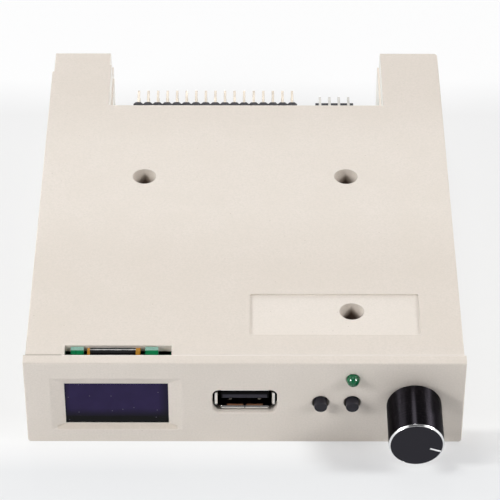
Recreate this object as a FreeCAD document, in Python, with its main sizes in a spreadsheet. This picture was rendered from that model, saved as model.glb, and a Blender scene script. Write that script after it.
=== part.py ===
import FreeCAD, Part
import Sketcher
import math
import os
from types import SimpleNamespace

from FreeCAD import Placement, Rotation, Vector

# A floppy drive emulator for a 3.5-inch drive bay, in millimetres.
# The origin is the bottom front edge of the bezel on the centreline.
# +X is to the right seen from the front, +Y runs from the front face into the bay, +Z is up.

SIZES = {
    # Case outline
    "bezel_width": 101.6,
    "case_height": 25.0,
    "bezel_thickness": 2.8,
    "bezel_corner": 0.8,
    "bezel_edge": 0.35,
    "bezel_overhang": 0.4,
    "body_rear": 120.25,
    "notch_depth": 22.55,
    "notch_width": 70.2,
    "notch_shift": 0.15,
    "tower_corner": 1.0,
    "tower_step": 0.45,
    "tower_step_length": 8.0,
    "tower_taper": 0.4,
    "tower_taper_length": 5.0,
    # Walls of the cover and the tray
    "wall": 1.8,
    "roof": 1.8,
    "floor": 2.0,
    "top_edge": 0.35,
    "bottom_edge": 0.5,
    "seam": 0.1,
    "seat_gap": 0.05,
    "cover_height": 4.7,
    "tray_step": 0.2,
    "notch_step": 0.5,
    "lip_height": 1.2,
    "lip_root": 2.5,
    "lip_wall": 0.8,
    "lip_gap": 0.15,
    "curtain_gap": 3.0,
    "curtain_side_gap": 0.2,
    "sill_gap": 0.4,
    "shelf_setback": 7.25,
    # Screws and the wells above them
    "screw_x": 25.0,
    "screw_front_y": 18.4,
    "screw_rear_y": 68.3,
    "well_top_radius": 2.9,
    "well_low_radius": 2.5,
    "well_wall": 1.2,
    "well_floor": 1.6,
    "screw_hole_radius": 1.45,
    "screw_head_radius": 2.25,
    "screw_head_height": 1.7,
    "screw_recess_width": 0.6,
    "screw_recess_length": 2.6,
    "screw_recess_depth": 1.0,
    "pilot_radius": 1.05,
    "pilot_floor": 0.9,
    "screw_tip_gap": 0.6,
    "thread_gap": 0.02,
    "post_radius": 3.5,
    "locating_pin_radius": 1.2,
    "locating_pin_gap": 0.1,
    "locating_pin_height": 0.8,
    "rear_post_x": 30.0,
    "rear_post_setback": 5.3,
    "rear_post_radius": 1.8,
    # Mounting holes for the drive bay
    "bay_hole_radius": 1.25,
    "bay_hole_first": 21.0,
    "bay_hole_spacing": 70.0,
    "side_hole_height": 5.0,
    "side_hole_depth": 5.5,
    "side_boss_depth": 6.4,
    "side_boss_half": 4.0,
    "side_boss_height": 9.5,
    "bottom_hole_spacing": 80.0,
    "bottom_hole_depth": 5.5,
    "bottom_boss_radius": 3.5,
    "bottom_boss_gap": 0.4,
    # Label recess in the roof
    "label_left": 1.15,
    "label_length": 39.6,
    "label_front": 9.9,
    "label_depth": 14.2,
    "label_recess": 0.4,
    "label_corner": 0.4,
    # Snap arms of the bezel
    "arm_gap": 0.2,
    "arm_thickness": 1.4,
    "arm_low": 9.0,
    "arm_width": 6.0,
    "arm_length": 11.5,
    "arm_root": 1.0,
    "barb_length": 2.2,
    "barb_height": 1.0,
    "snap_gap": 0.3,
    # Display
    "display_inset": 20.7,
    "window_half": 15.25,
    "window_low": 3.83,
    "window_drop": 4.72,
    "window_side_slope": 3.25,
    "window_low_slope": 1.17,
    "window_top_slope": 2.66,
    "window_slope_depth": 1.15,
    "glass_width": 26.7,
    "glass_overhang": 0.26,
    "glass_low_inset": 1.6,
    "glass_front_sheet": 2.1,
    "glass_rear_sheet": 0.7,
    "glass_front_margin": 1.36,
    "glass_gap": 0.2,
    "glass_seat": 1.4,
    "tape_thickness": 0.25,
    "tape_margin": 2.0,
    "display_board_thickness": 1.2,
    "display_board_margin": 0.3,
    "display_board_floor_gap": 0.3,
    "display_board_drop": 2.9,
    "display_hole_radius": 1.0,
    "display_hole_inset": 2.0,
    "tab_shift": -0.25,
    "tab_half_span": 10.05,
    "tab_width": 2.97,
    "tab_drop": 0.1,
    "flex_left_gap": 0.83,
    "flex_right_gap": 1.13,
    "flex_thickness": 0.15,
    "flex_drop": 0.3,
    "flex_bond": 2.6,
    "flex_tail": 7.0,
    "flex_front_bend": 1.2,
    "flex_rear_bend": 0.5,
    "slot_left_gap": 1.4,
    "slot_right_gap": 3.1,
    "slot_back_gap": 0.2,
    # Main board
    "board_underside": 7.4,
    "board_thickness": 1.6,
    "board_side_gap": 0.7,
    "board_notch_gap": 2.7,
    "board_tongue_gap": 2.45,
    "board_rear_gap": 0.5,
    "board_front_gap": 0.6,
    "board_display_side_gap": 2.05,
    "board_display_gap": 1.7,
    "board_encoder_side_gap": 0.4,
    "board_encoder_gap": 1.35,
    "screw_board_hole": 1.6,
    "pin_hole_radius": 0.5,
    "pin_stub": 0.25,
    # Pins and pin headers
    "pin": 0.64,
    "pin_fit": 0.02,
    "pin_below_board": 1.2,
    "upright_pin_height": 5.8,
    "pitch": 2.54,
    "header_notch": 0.6,
    "header_standoff": 0.2,
    "drive_x": -8.0,
    "drive_overhang": 0.5,
    "drive_tip": 6.3,
    "drive_tail": 1.86,
    "power_x": 23.5,
    "power_pitch": 2.5,
    "power_width": 10.0,
    "power_overhang": 3.2,
    "power_depth": 5.0,
    "power_height": 2.75,
    "power_tip": 2.7,
    "power_tail": 2.2,
    "power_slot_gap": 0.03,
    "jumper_x": -17.0,
    "jumper_setback": 2.9,
    "cap_gap": 0.05,
    "cap_wall": 0.5,
    "cap_height": 5.0,
    "program_inset": 7.5,
    "program_y": 60.0,
    # USB socket
    "usb_x": 0.0,
    "usb_z": 12.94,
    "usb_hole_side_gap": 0.53,
    "usb_hole_gap": 0.61,
    "usb_hole_corner": 1.7,
    "usb_hole_edge": 0.3,
    "usb_width": 13.2,
    "usb_height": 5.3,
    "usb_sheet": 0.3,
    "usb_corner": 1.0,
    "usb_front": 1.3,
    "usb_lip_front": 1.0,
    "usb_lip_side_spread": 0.36,
    "usb_lip_spread": 0.28,
    "usb_lip_corner": 1.1,
    "usb_lip_side_corner": 0.86,
    "usb_length": 13.8,
    "usb_spring_x": 3.35,
    "usb_spring_width": 1.1,
    "usb_spring_root": 1.6,
    "usb_spring_peak": 3.3,
    "usb_spring_end": 3.7,
    "usb_spring_rise": 0.4,
    "tongue_side_gap": 0.75,
    "tongue_thickness": 1.85,
    "tongue_top_gap": 0.55,
    "tongue_front": 1.4,
    "tongue_block": 4.0,
    "usb_fit": 0.03,
    "usb_contact_width": 1.0,
    "usb_contact_thickness": 0.25,
    "usb_contact_inner": 1.0,
    "usb_contact_outer": 3.5,
    "usb_contact_front": 3.6,
    "usb_contact_tail": 1.2,
    # Push buttons
    "button_spacing": 7.31,
    "button_x": 24.86,
    "controls_z": 12.8,
    "button_hole_gap": 0.49,
    "button_radius": 1.5,
    "button_proud": 1.8,
    "button_edge": 0.2,
    "button_travel": 0.25,
    "button_gap": 0.05,
    "button_flange_step": 0.7,
    "button_flange": 0.7,
    "switch_half": 3.0,
    "switch_gap": 0.6,
    "switch_wall": 0.7,
    "switch_depth": 4.0,
    "switch_cavity_gap": 0.2,
    "switch_cover_sheet": 0.25,
    "switch_cover_depth": 2.4,
    "dome_thickness": 0.3,
    "dome_gap": 0.05,
    # Status light
    "led_drop": 4.86,
    "led_hole_gap": 0.1,
    "led_radius": 1.5,
    "led_proud": 2.0,
    "led_flange_step": 0.4,
    "led_flange": 1.0,
    "led_lead": 0.5,
    "led_lead_spacing": 2.54,
    "led_lead_bend": 9.0,
    "lead_hole_radius": 0.45,
    # Rotary encoder
    "encoder_inset": 11.3,
    "encoder_hole_gap": 0.1,
    "encoder_width": 11.7,
    "encoder_height": 12.0,
    "encoder_plate": 1.0,
    "encoder_depth": 6.8,
    "encoder_back_wall": 0.8,
    "bushing_wall": 0.45,
    "bushing_length": 7.05,
    "shaft_radius": 3.0,
    "shaft_flat": 1.5,
    "shaft_flat_length": 7.0,
    "shaft_collar_step": 0.7,
    "shaft_collar": 0.5,
    "shaft_tail_radius": 2.0,
    "shaft_tail_flat": 1.2,
    "running_gap": 0.05,
    "rotor_radius": 5.0,
    "rotor_thickness": 1.6,
    "press_travel": 0.5,
    "press_margin": 0.2,
    "encoder_dome_radius": 2.5,
    "washer_radius": 4.9,
    "washer_thickness": 0.5,
    "nut_across_flats": 8.5,
    "nut_thickness": 1.5,
    "encoder_board_gap": 0.35,
    "encoder_board_thickness": 1.2,
    "encoder_board_margin": 0.6,
    "encoder_board_below": 1.8,
    "encoder_board_above": 0.7,
    "encoder_link_shift": -1.2,
    "encoder_link_pitch": 2.0,
    "encoder_link_height": 1.7,
    "encoder_link_tail": 1.0,
    "encoder_terminal": 0.8,
    "encoder_terminal_pitch": 2.5,
    "encoder_terminal_hole": 0.75,
    # Knob
    "knob_radius": 6.35,
    "knob_back": 0.7,
    "knob_front": 14.1,
    "knob_wall": 0.75,
    "knob_hollow_gap": 0.7,
    "knob_bore_gap": 0.02,
    "knob_bore_end_gap": 0.3,
    "knob_cap": 1.4,
    "ring_depth": 0.36,
    "ring_width": 0.4,
    "ring_chamfer": 0.32,
    "ring_gap": 0.02,
    "knob_back_edge": 0.3,
    "pointer_inner": 3.3,
    "pointer_rim_gap": 0.05,
    "pointer_width": 0.5,
    "pointer_depth": 0.2,
    "pointer_angle": 19.0,
    # Parts soldered on the main board
    "chip_x": 2.0,
    "chip_y": 48.0,
    "chip_side": 10.0,
    "chip_height": 1.4,
    "chip_standoff": 0.1,
    "chip_pin_pitch": 0.5,
    "chip_pin_width": 0.22,
    "chip_pin_reach": 1.0,
    "chip_pin_thickness": 0.15,
    "crystal_x": -14.0,
    "crystal_y": 48.0,
    "crystal_length": 11.2,
    "crystal_width": 4.6,
    "crystal_height": 3.5,
    "capacitor_radius": 3.15,
    "capacitor_height": 5.4,
    "capacitor_base": 6.6,
    "capacitor_base_height": 1.0,
    "capacitor_edge": 0.4,
    "capacitor_x": 8.0,
    "capacitor_setback": 9.0,
    "capacitor_spacing": 9.0,
    "regulator_x": -4.0,
    "regulator_setback": 7.0,
    "regulator_length": 6.5,
    "regulator_width": 3.5,
    "regulator_height": 1.6,
    "regulator_pin": 0.7,
    "regulator_pitch": 2.3,
    "regulator_reach": 1.7,
    "regulator_sheet": 0.3,
    "regulator_tab": 3.0,
    "chip_part_length": 2.0,
    "chip_part_width": 1.25,
    "chip_part_height": 0.6,
    "chip_part_pitch": 3.2,
    "chip_part_x": -14.0,
    "chip_part_y": 31.6,
}

# How many there are of each
DRIVE_COLUMNS = 17
DRIVE_ROWS = 2
JUMPER_COLUMNS = 6
JUMPER_ROWS = 2
JUMPER_CAP_COLUMNS = (0, 2)
PROGRAM_PINS = 4
POWER_PINS = 4
DISPLAY_PINS = 4
LED_LEAD_COUNT = 2
ENCODER_LINK_PINS = 5
ENCODER_LOW_TERMINALS = 3
ENCODER_HIGH_TERMINALS = 2
REGULATOR_LEGS = 3
CHIP_PINS_PER_SIDE = 16
CHIP_PART_ROWS = 2
CHIP_PART_COLUMNS = 6
SQUARE_CORNER_COUNT = 4
HEXAGON_CORNER_COUNT = 6

# How far a cutting shape runs past the face that it opens
PAST = 1.0

# Two lengths that differ by less than this are taken as the same
SAME = 1e-4

# Wide enough for any piece of the case
WIDE_OPEN = 1000.0

doc = FreeCAD.newDocument("FloppyDriveEmulator")


# Sizes that keep their formula


class Size:
    """A length and the sheet formula that it comes from."""

    def __init__(self, value, formula):
        self.value = float(value)
        self.formula = formula

    def __add__(self, other):
        other = size(other)
        return Size(self.value + other.value, "(%s + %s)" % (self.formula, other.formula))

    def __sub__(self, other):
        other = size(other)
        return Size(self.value - other.value, "(%s - %s)" % (self.formula, other.formula))

    def __mul__(self, other):
        other = size(other)
        return Size(self.value * other.value, "(%s * %s)" % (self.formula, other.formula))

    def __truediv__(self, other):
        other = size(other)
        return Size(self.value / other.value, "(%s / %s)" % (self.formula, other.formula))

    def __neg__(self):
        return size(0) - self

    def __radd__(self, other):
        return size(other) + self

    def __rsub__(self, other):
        return size(other) - self

    def __rmul__(self, other):
        return size(other) * self


def size(number):
    """Any number as a Size."""
    if isinstance(number, Size):
        return number
    return Size(number, "%.9g" % number)


def fill_sheet():
    """The sheet of driving dimensions, with one alias a row."""
    sheet = doc.addObject("Spreadsheet::Sheet", "Sizes")
    for row, (alias, number) in enumerate(SIZES.items(), start=1):
        sheet.set("A%d" % row, alias)
        sheet.set("B%d" % row, "%g" % number)
        sheet.setAlias("B%d" % row, alias)
    doc.recompute()
    return SimpleNamespace(**{alias: Size(sheet.get(alias), "Sizes." + alias) for alias in SIZES})


s = fill_sheet()

# Places that several pieces share: the case
HALF_BEZEL = s.bezel_width / 2
HALF_BODY = HALF_BEZEL - s.bezel_overhang
HALF_TRAY = HALF_BODY + s.tray_step
BODY_FRONT = s.bezel_thickness + s.seam
NOTCH_FRONT = s.body_rear - s.notch_depth
NOTCH_LEFT = s.notch_shift - s.notch_width / 2
NOTCH_RIGHT = s.notch_shift + s.notch_width / 2
TRAY_REAR = s.body_rear - s.shelf_setback
REAR_POST_Y = NOTCH_FRONT + s.rear_post_setback
PARTING = s.case_height - s.cover_height
ROOF_UNDER = s.case_height - s.roof
BOARD_TOP = s.board_underside + s.board_thickness
PIN_END = s.board_underside - s.pin_below_board
WELL_BOTTOM = BOARD_TOP + s.well_floor
BAY_HOLE_FRONT = s.bezel_thickness + s.bay_hole_first
BAY_HOLE_YS = (BAY_HOLE_FRONT, BAY_HOLE_FRONT + s.bay_hole_spacing)
SCREW_PLACES = (
    (-s.screw_x, s.screw_rear_y),
    (s.screw_x, s.screw_rear_y),
    (s.screw_x, s.screw_front_y),
)

# The display, from the front to the back
DISPLAY_X = s.display_inset - HALF_BODY
OPENING_TOP = s.case_height - s.window_drop - s.window_top_slope
DISPLAY_BOARD_LOW = s.floor + s.display_board_floor_gap
DISPLAY_BOARD_TOP = s.case_height - s.display_board_drop
GLASS_LOW = DISPLAY_BOARD_LOW + s.glass_low_inset
GLASS_TOP = DISPLAY_BOARD_TOP + s.glass_overhang
GLASS_FRONT = s.bezel_thickness - s.glass_seat + s.seat_gap
GLASS_MIDDLE = GLASS_FRONT + s.glass_front_sheet
GLASS_FRONT_TOP = OPENING_TOP + s.glass_front_margin
GLASS_BACK = GLASS_MIDDLE + s.glass_rear_sheet
DISPLAY_BOARD_FRONT = GLASS_BACK + s.tape_thickness
DISPLAY_BOARD_BACK = DISPLAY_BOARD_FRONT + s.display_board_thickness
DISPLAY_BOARD_HALF = s.glass_width / 2 + s.display_board_margin
DISPLAY_PIN_Z = DISPLAY_BOARD_LOW + s.pin
TAB_LEFT = DISPLAY_X + s.tab_shift - s.tab_half_span
TAB_RIGHT = DISPLAY_X + s.tab_shift + s.tab_half_span
FLEX_TOP = s.case_height - s.flex_drop
FLEX_BACK = DISPLAY_BOARD_BACK + s.flex_thickness

# The encoder, from the front to the back
ENCODER_X = HALF_BODY - s.encoder_inset
ENCODER_PLATE_FRONT = s.bezel_thickness + s.seat_gap
ENCODER_PLATE_BACK = ENCODER_PLATE_FRONT + s.encoder_plate
ENCODER_BACK = ENCODER_PLATE_FRONT + s.encoder_depth
ENCODER_CAVITY_BACK = ENCODER_BACK - s.encoder_back_wall
BUSHING_FRONT = ENCODER_PLATE_FRONT - s.bushing_length
BUSHING_RADIUS = s.shaft_radius + s.running_gap + s.bushing_wall
SHAFT_TIP = s.knob_front - s.knob_cap - s.knob_bore_end_gap
COLLAR_BACK = ENCODER_PLATE_BACK + s.running_gap + s.shaft_collar
ROTOR_FRONT = COLLAR_BACK + s.press_travel + s.press_margin
ENCODER_DOME_FRONT = ENCODER_CAVITY_BACK - s.dome_thickness
TAIL_BACK = ENCODER_DOME_FRONT - s.press_travel - s.dome_gap
ENCODER_BOARD_FRONT = ENCODER_BACK + s.encoder_board_gap
ENCODER_BOARD_BACK = ENCODER_BOARD_FRONT + s.encoder_board_thickness
ENCODER_BOARD_HALF = s.encoder_width / 2 + s.encoder_board_margin
ENCODER_LINK_X = ENCODER_X + s.encoder_link_shift
ENCODER_LINK_Z = BOARD_TOP + s.encoder_link_height
KNOB_HOLLOW_RADIUS = s.knob_radius - s.knob_wall

# The main board and what plugs into it
BOARD_HALF = HALF_TRAY - s.side_boss_depth - s.board_side_gap
BOARD_FRONT = s.bezel_thickness + s.board_front_gap
BOARD_DISPLAY_SIDE = DISPLAY_X + DISPLAY_BOARD_HALF + s.board_display_side_gap
BOARD_DISPLAY_FRONT = DISPLAY_BOARD_BACK + s.board_display_gap
BOARD_ENCODER_SIDE = ENCODER_X - ENCODER_BOARD_HALF - s.board_encoder_side_gap
BOARD_ENCODER_FRONT = ENCODER_BOARD_BACK + s.board_encoder_gap
BOARD_MAIN_REAR = NOTCH_FRONT - s.board_notch_gap
BOARD_REAR = TRAY_REAR - s.board_rear_gap
DISPLAY_PIN_Y = BOARD_DISPLAY_FRONT + s.board_thickness
ENCODER_LINK_Y = BOARD_ENCODER_FRONT + s.encoder_link_tail
DRIVE_REAR = BOARD_REAR + s.drive_overhang
DRIVE_FRONT = DRIVE_REAR - s.pitch
DRIVE_LOW = BOARD_TOP + s.header_standoff
POWER_REAR = BOARD_REAR + s.power_overhang
POWER_FRONT = POWER_REAR - s.power_depth
POWER_TOP = BOARD_TOP + s.header_standoff + s.power_height
JUMPER_Y = NOTCH_FRONT + s.jumper_setback
PROGRAM_X = s.program_inset - BOARD_HALF
CAPACITOR_Y = BOARD_MAIN_REAR - s.capacitor_setback
REGULATOR_Y = BOARD_MAIN_REAR - s.regulator_setback

# Push buttons and status light
BUTTON_LEFT_X = s.button_x - s.button_spacing
SWITCH_FRONT = s.bezel_thickness + s.switch_gap
SWITCH_CAVITY_FRONT = SWITCH_FRONT + s.switch_wall
BUTTON_FLANGE_RADIUS = s.button_radius + s.button_flange_step
BUTTON_FLANGE_FRONT = SWITCH_CAVITY_FRONT + s.button_gap
BUTTON_BACK = BUTTON_FLANGE_FRONT + s.button_flange
SWITCH_CAVITY_RADIUS = BUTTON_FLANGE_RADIUS + s.switch_cavity_gap
SWITCH_DOME_FRONT = BUTTON_BACK + s.button_travel + s.dome_gap
LED_Z = s.case_height - s.led_drop

# USB socket
USB_BOTTOM = s.usb_z - s.usb_height / 2
USB_TOP = s.usb_z + s.usb_height / 2
USB_BACK = s.usb_front + s.usb_length
USB_HOLE_HALF_WIDTH = s.usb_width / 2 + s.usb_lip_side_spread + s.usb_hole_side_gap
USB_HOLE_HALF_HEIGHT = s.usb_height / 2 + s.usb_lip_spread + s.usb_hole_gap
TONGUE_TOP = USB_TOP - s.usb_sheet - s.tongue_top_gap
TONGUE_LOW = TONGUE_TOP - s.tongue_thickness
CONTACT_LOW = TONGUE_LOW - s.usb_contact_thickness


# Shapes bound to the sheet


def bind(thing, prop, length):
    """Ties one property of an object to a formula of the sheet."""
    thing.setExpression(prop, size(length).formula)


def place(thing, x=0, y=0, z=0, turn=None):
    """Puts an object at a point that follows the sheet, with a fixed turn."""
    thing.Placement = Placement(Vector(size(x).value, size(y).value, size(z).value), turn or Rotation())
    for axis, length in (("x", x), ("y", y), ("z", z)):
        bind(thing, "Placement.Base." + axis, length)
    return thing


def block(label, x, y, z):
    """A block between two places along each axis."""
    box = doc.addObject("Part::Box", "Block")
    box.Label = label
    for prop, (low, high) in (("Length", x), ("Width", y), ("Height", z)):
        bind(box, prop, size(high) - low)
    return place(box, x[0], y[0], z[0])


TURNS = {"x": Rotation(Vector(0, 1, 0), 90), "y": Rotation(Vector(1, 0, 0), -90), "z": Rotation()}


def along(thing, axis, centre, start):
    """Lays an object that is made along +Z along another axis, through a centre given in the other two."""
    first, second = centre
    x, y, z = {"x": (start, first, second), "y": (first, start, second), "z": (first, second, start)}[axis]
    return place(thing, x, y, z, TURNS[axis])


def rod(label, axis, centre, span, radius):
    """A cylinder along an axis, between two places on it."""
    cylinder = doc.addObject("Part::Cylinder", "Rod")
    cylinder.Label = label
    bind(cylinder, "Radius", radius)
    bind(cylinder, "Height", size(span[1]) - span[0])
    return along(cylinder, axis, centre, span[0])


def taper(label, axis, centre, span, start_radius, end_radius):
    """A cone along an axis, with a radius at each end."""
    cone = doc.addObject("Part::Cone", "Taper")
    cone.Label = label
    bind(cone, "Radius1", start_radius)
    bind(cone, "Radius2", end_radius)
    bind(cone, "Height", size(span[1]) - span[0])
    return along(cone, axis, centre, span[0])


def prism(label, axis, centre, span, corners, corner_radius):
    """A regular prism along an axis."""
    shape = doc.addObject("Part::Prism", "Prism")
    shape.Label = label
    shape.Polygon = corners
    bind(shape, "Circumradius", corner_radius)
    bind(shape, "Height", size(span[1]) - span[0])
    return along(shape, axis, centre, span[0])


def funnel(label, y, front_x, front_z, back_x, back_z):
    """A block whose front and back rectangles differ in size, between two places along Y."""
    wedge = doc.addObject("Part::Wedge", "Funnel")
    wedge.Label = label
    # The start values only keep each range open while the formulas are set
    for high in ("Xmax", "Ymax", "Zmax", "X2max", "Z2max"):
        setattr(wedge, high, WIDE_OPEN)
    for prop, length in (
        ("Ymin", y[0]), ("Ymax", y[1]),
        ("Xmin", front_x[0]), ("Xmax", front_x[1]), ("Zmin", front_z[0]), ("Zmax", front_z[1]),
        ("X2min", back_x[0]), ("X2max", back_x[1]), ("Z2min", back_z[0]), ("Z2max", back_z[1]),
    ):
        bind(wedge, prop, length)
    return wedge


def fuse(label, pieces):
    """One solid from touching pieces."""
    union = doc.addObject("Part::MultiFuse", "Union")
    union.Label = label
    union.Shapes = list(pieces)
    union.Refine = True
    return union


def group(label, pieces):
    """Separate solids kept together."""
    compound = doc.addObject("Part::Compound", "Group")
    compound.Label = label
    compound.Links = list(pieces)
    return compound


def cut(label, base, tools):
    """The base without the tools, however many there are."""
    tools = list(tools)
    difference = doc.addObject("Part::Cut", "Difference")
    difference.Label = label
    difference.Base = base
    difference.Tool = tools[0] if len(tools) == 1 else group(label + " openings", tools)
    difference.Refine = True
    return difference


def rounded(label, base, radius, wanted):
    """Rounds the edges of the base that a test picks out."""
    doc.recompute()
    fillet = doc.addObject("Part::Fillet", "Rounding")
    fillet.Label = label
    fillet.Base = base
    picked = [index for index, edge in enumerate(base.Shape.Edges, start=1) if wanted(edge)]
    if not picked:
        raise ValueError("no edge to round on " + label)
    fillet.Edges = [(index, size(radius).value, size(radius).value) for index in picked]
    return fillet


def straight(edge, direction):
    """Whether an edge is a straight line along a direction."""
    if not isinstance(edge.Curve, Part.Line):
        return False
    return abs(abs(edge.Curve.Direction.dot(direction)) - 1) < SAME


def lies_at(edge, axis, place_on_axis):
    """Whether a whole edge lies at one place along an axis."""
    low = getattr(edge.BoundBox, axis.upper() + "Min")
    high = getattr(edge.BoundBox, axis.upper() + "Max")
    value = size(place_on_axis).value
    return abs(low - value) < SAME and abs(high - value) < SAME


ALONG_Y = Vector(0, 1, 0)
ALONG_Z = Vector(0, 0, 1)


def sketch_on(body, plane_role, points):
    """A closed outline on one of the body's own planes, each corner tied to the sheet."""
    plane = next(f for f in body.Origin.OriginFeatures if f.Role == plane_role)
    sketch = body.newObject("Sketcher::SketchObject", "Outline")
    sketch.AttachmentSupport = [(plane, "")]
    sketch.MapMode = "FlatFace"
    corners = [Vector(size(u).value, size(v).value, 0) for u, v in points]
    for index, corner in enumerate(corners):
        sketch.addGeometry(Part.LineSegment(corner, corners[(index + 1) % len(corners)]), False)
    for index in range(len(corners)):
        sketch.addConstraint(Sketcher.Constraint("Coincident", index, 2, (index + 1) % len(corners), 1))
    for index, (u, v) in enumerate(points):
        for kind, axis_line, length in (("DistanceX", -2, u), ("DistanceY", -1, v)):
            if abs(size(length).value) < SAME:
                sketch.addConstraint(Sketcher.Constraint("PointOnObject", index, 1, axis_line))
                continue
            number = sketch.addConstraint(Sketcher.Constraint(kind, -1, 1, index, 1, size(length).value))
            sketch.setExpression("Constraints[%d]" % number, size(length).formula)
    return sketch


def plate(label, points, z):
    """A flat plate with an outline seen from above, as a padded sketch."""
    body = doc.addObject("PartDesign::Body", "Plate")
    body.Label = label
    sketch = sketch_on(body, "XY_Plane", points)
    pad = body.newObject("PartDesign::Pad", "Pad")
    pad.Profile = sketch
    bind(pad, "Length", size(z[1]) - z[0])
    sketch.Visibility = False
    return place(body, 0, 0, z[0])


def turned(label, centre, points):
    """A piece turned about an axis along Y: each point is a radius and a place along the axis."""
    body = doc.addObject("PartDesign::Body", "Turned")
    body.Label = label
    sketch = sketch_on(body, "XY_Plane", points)
    spin = body.newObject("PartDesign::Revolution", "Revolution")
    spin.Profile = sketch
    spin.ReferenceAxis = (sketch, ["V_Axis"])
    spin.Angle = 360.0
    sketch.Visibility = False
    return place(body, centre[0], 0, centre[1])


def on_side(side, near, far):
    """A span from near to far of the middle plane, on the left for -1 and on the right for +1."""
    return (near, far) if side > 0 else (-far, -near)


def row_places(centre, pitch, count):
    """Evenly spaced places about a centre."""
    return [size(centre) + pitch * (index - (count - 1) / 2) for index in range(count)]


def bent_pin(label, x, run_y, run_z, end_z, width):
    """A square pin that runs along Y at one height and turns down or up at the end of the run."""
    half = size(width) / 2
    bend_y = run_y[1]
    sides = (bend_y - half, bend_y + half)
    run = block(label + " run", (x - half, x + half), (run_y[0], sides[1]), (run_z - half, run_z + half))
    if size(end_z).value > size(run_z).value:
        drop = block(label + " leg", (x - half, x + half), sides, (run_z - half, end_z))
    else:
        drop = block(label + " leg", (x - half, x + half), sides, (end_z, run_z + half))
    return fuse(label, [run, drop])


def rear_pin(label, x, tip_y, bend_y, z, width):
    """A square pin whose tip points back and whose tail turns down through the main board."""
    half = size(width) / 2
    run = block(label + " run", (x - half, x + half), (bend_y - half, tip_y), (z - half, z + half))
    leg = block(label + " leg", (x - half, x + half), (bend_y - half, bend_y + half), (PIN_END, z + half))
    return fuse(label, [run, leg])


parts = []


def part(name, thing):
    """Names a finished sub-part after its file."""
    thing.Label = name
    parts.append(thing)
    return thing


# Case


def plan(label, z, sides, rear, notch, front):
    """The outline of the case behind the bezel: a body with two towers beside a rear notch.

    sides, rear and notch say how far each wall stands out from the cover's own outline."""
    whole = block(
        label + " whole",
        (-HALF_BODY - sides, HALF_BODY + sides),
        (front, s.body_rear + rear),
        z,
    )
    bay = block(
        label + " bay",
        (NOTCH_LEFT + notch, NOTCH_RIGHT - notch),
        (NOTCH_FRONT + notch, s.body_rear + PAST + PAST),
        (z[0] - PAST, z[1] + PAST),
    )
    return cut(label, whole, [bay])


def hollow(label, z):
    """The space inside the walls, open to the front."""
    return plan(label, z, -s.wall, -s.wall, -s.wall, BODY_FRONT - PAST)


def tower_reliefs(label, z, sides, notch):
    """The slight steps near the end of the left tower."""
    outer_face = -HALF_BODY - sides
    inner_face = NOTCH_LEFT + notch
    return [
        block(
            label + " outer step",
            (outer_face - PAST, outer_face + s.tower_step),
            (s.body_rear - s.tower_step_length, s.body_rear + PAST),
            (z[0] - PAST, z[1] + PAST),
        ),
        block(
            label + " inner step",
            (inner_face - s.tower_taper, inner_face + PAST),
            (s.body_rear - s.tower_taper_length, s.body_rear + PAST),
            (z[0] - PAST, z[1] + PAST),
        ),
    ]


def is_tower_corner(sides):
    """Picks the upright outer corner at the end of the right tower."""
    def wanted(edge):
        if not straight(edge, ALONG_Z):
            return False
        return lies_at(edge, "x", HALF_BODY + sides) and lies_at(edge, "y", s.body_rear)
    return wanted


def make_top_cover():
    z = (PARTING, s.case_height)
    outer = cut(
        "cover outline with steps",
        plan("cover outline", z, 0, 0, 0, BODY_FRONT),
        tower_reliefs("cover", z, 0, 0),
    )
    outer = rounded("cover tower corner", outer, s.tower_corner, is_tower_corner(0))
    outer = rounded("cover top edges", outer, s.top_edge, is_top_rim)
    shell = cut("cover shell", outer, [hollow("cover hollow", (PARTING - PAST, ROOF_UNDER))])
    curtain = block(
        "cover rear curtain",
        (NOTCH_LEFT + s.notch_step + s.curtain_side_gap, NOTCH_RIGHT - s.notch_step - s.curtain_side_gap),
        (NOTCH_FRONT - s.wall, NOTCH_FRONT),
        (BOARD_TOP + s.curtain_gap, ROOF_UNDER),
    )
    columns = [
        rod("cover screw column", "z", place_xy, (BOARD_TOP, ROOF_UNDER), s.well_top_radius + s.well_wall)
        for place_xy in SCREW_PLACES
    ]
    wells = [
        taper("cover well", "z", centre, (WELL_BOTTOM, s.case_height), s.well_low_radius, s.well_top_radius)
        for centre in SCREW_PLACES
    ]
    holes = [
        rod("cover screw hole", "z", centre, (BOARD_TOP - PAST, WELL_BOTTOM + PAST), s.screw_hole_radius)
        for centre in SCREW_PLACES
    ]
    slot = block(
        "cover display slot",
        (TAB_LEFT - s.slot_left_gap, TAB_RIGHT + s.slot_right_gap),
        (BODY_FRONT - PAST, FLEX_BACK + s.slot_back_gap),
        (ROOF_UNDER - PAST, s.case_height + PAST),
    )
    label_recess = rounded(
        "cover label recess",
        block(
            "cover label block",
            (s.label_left, s.label_left + s.label_length),
            (s.label_front, s.label_front + s.label_depth),
            (s.case_height - s.label_recess, s.case_height + PAST),
        ),
        s.label_corner,
        lambda edge: straight(edge, ALONG_Z),
    )
    solid = fuse("cover with columns", [shell, curtain] + columns)
    part("top_cover", cut("cover", solid, wells + holes + [slot, label_recess]))


def is_top_rim(edge):
    """Picks the edges around the top of the cover, apart from the front one that meets the bezel."""
    return lies_at(edge, "z", s.case_height) and not lies_at(edge, "y", BODY_FRONT)


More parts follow.
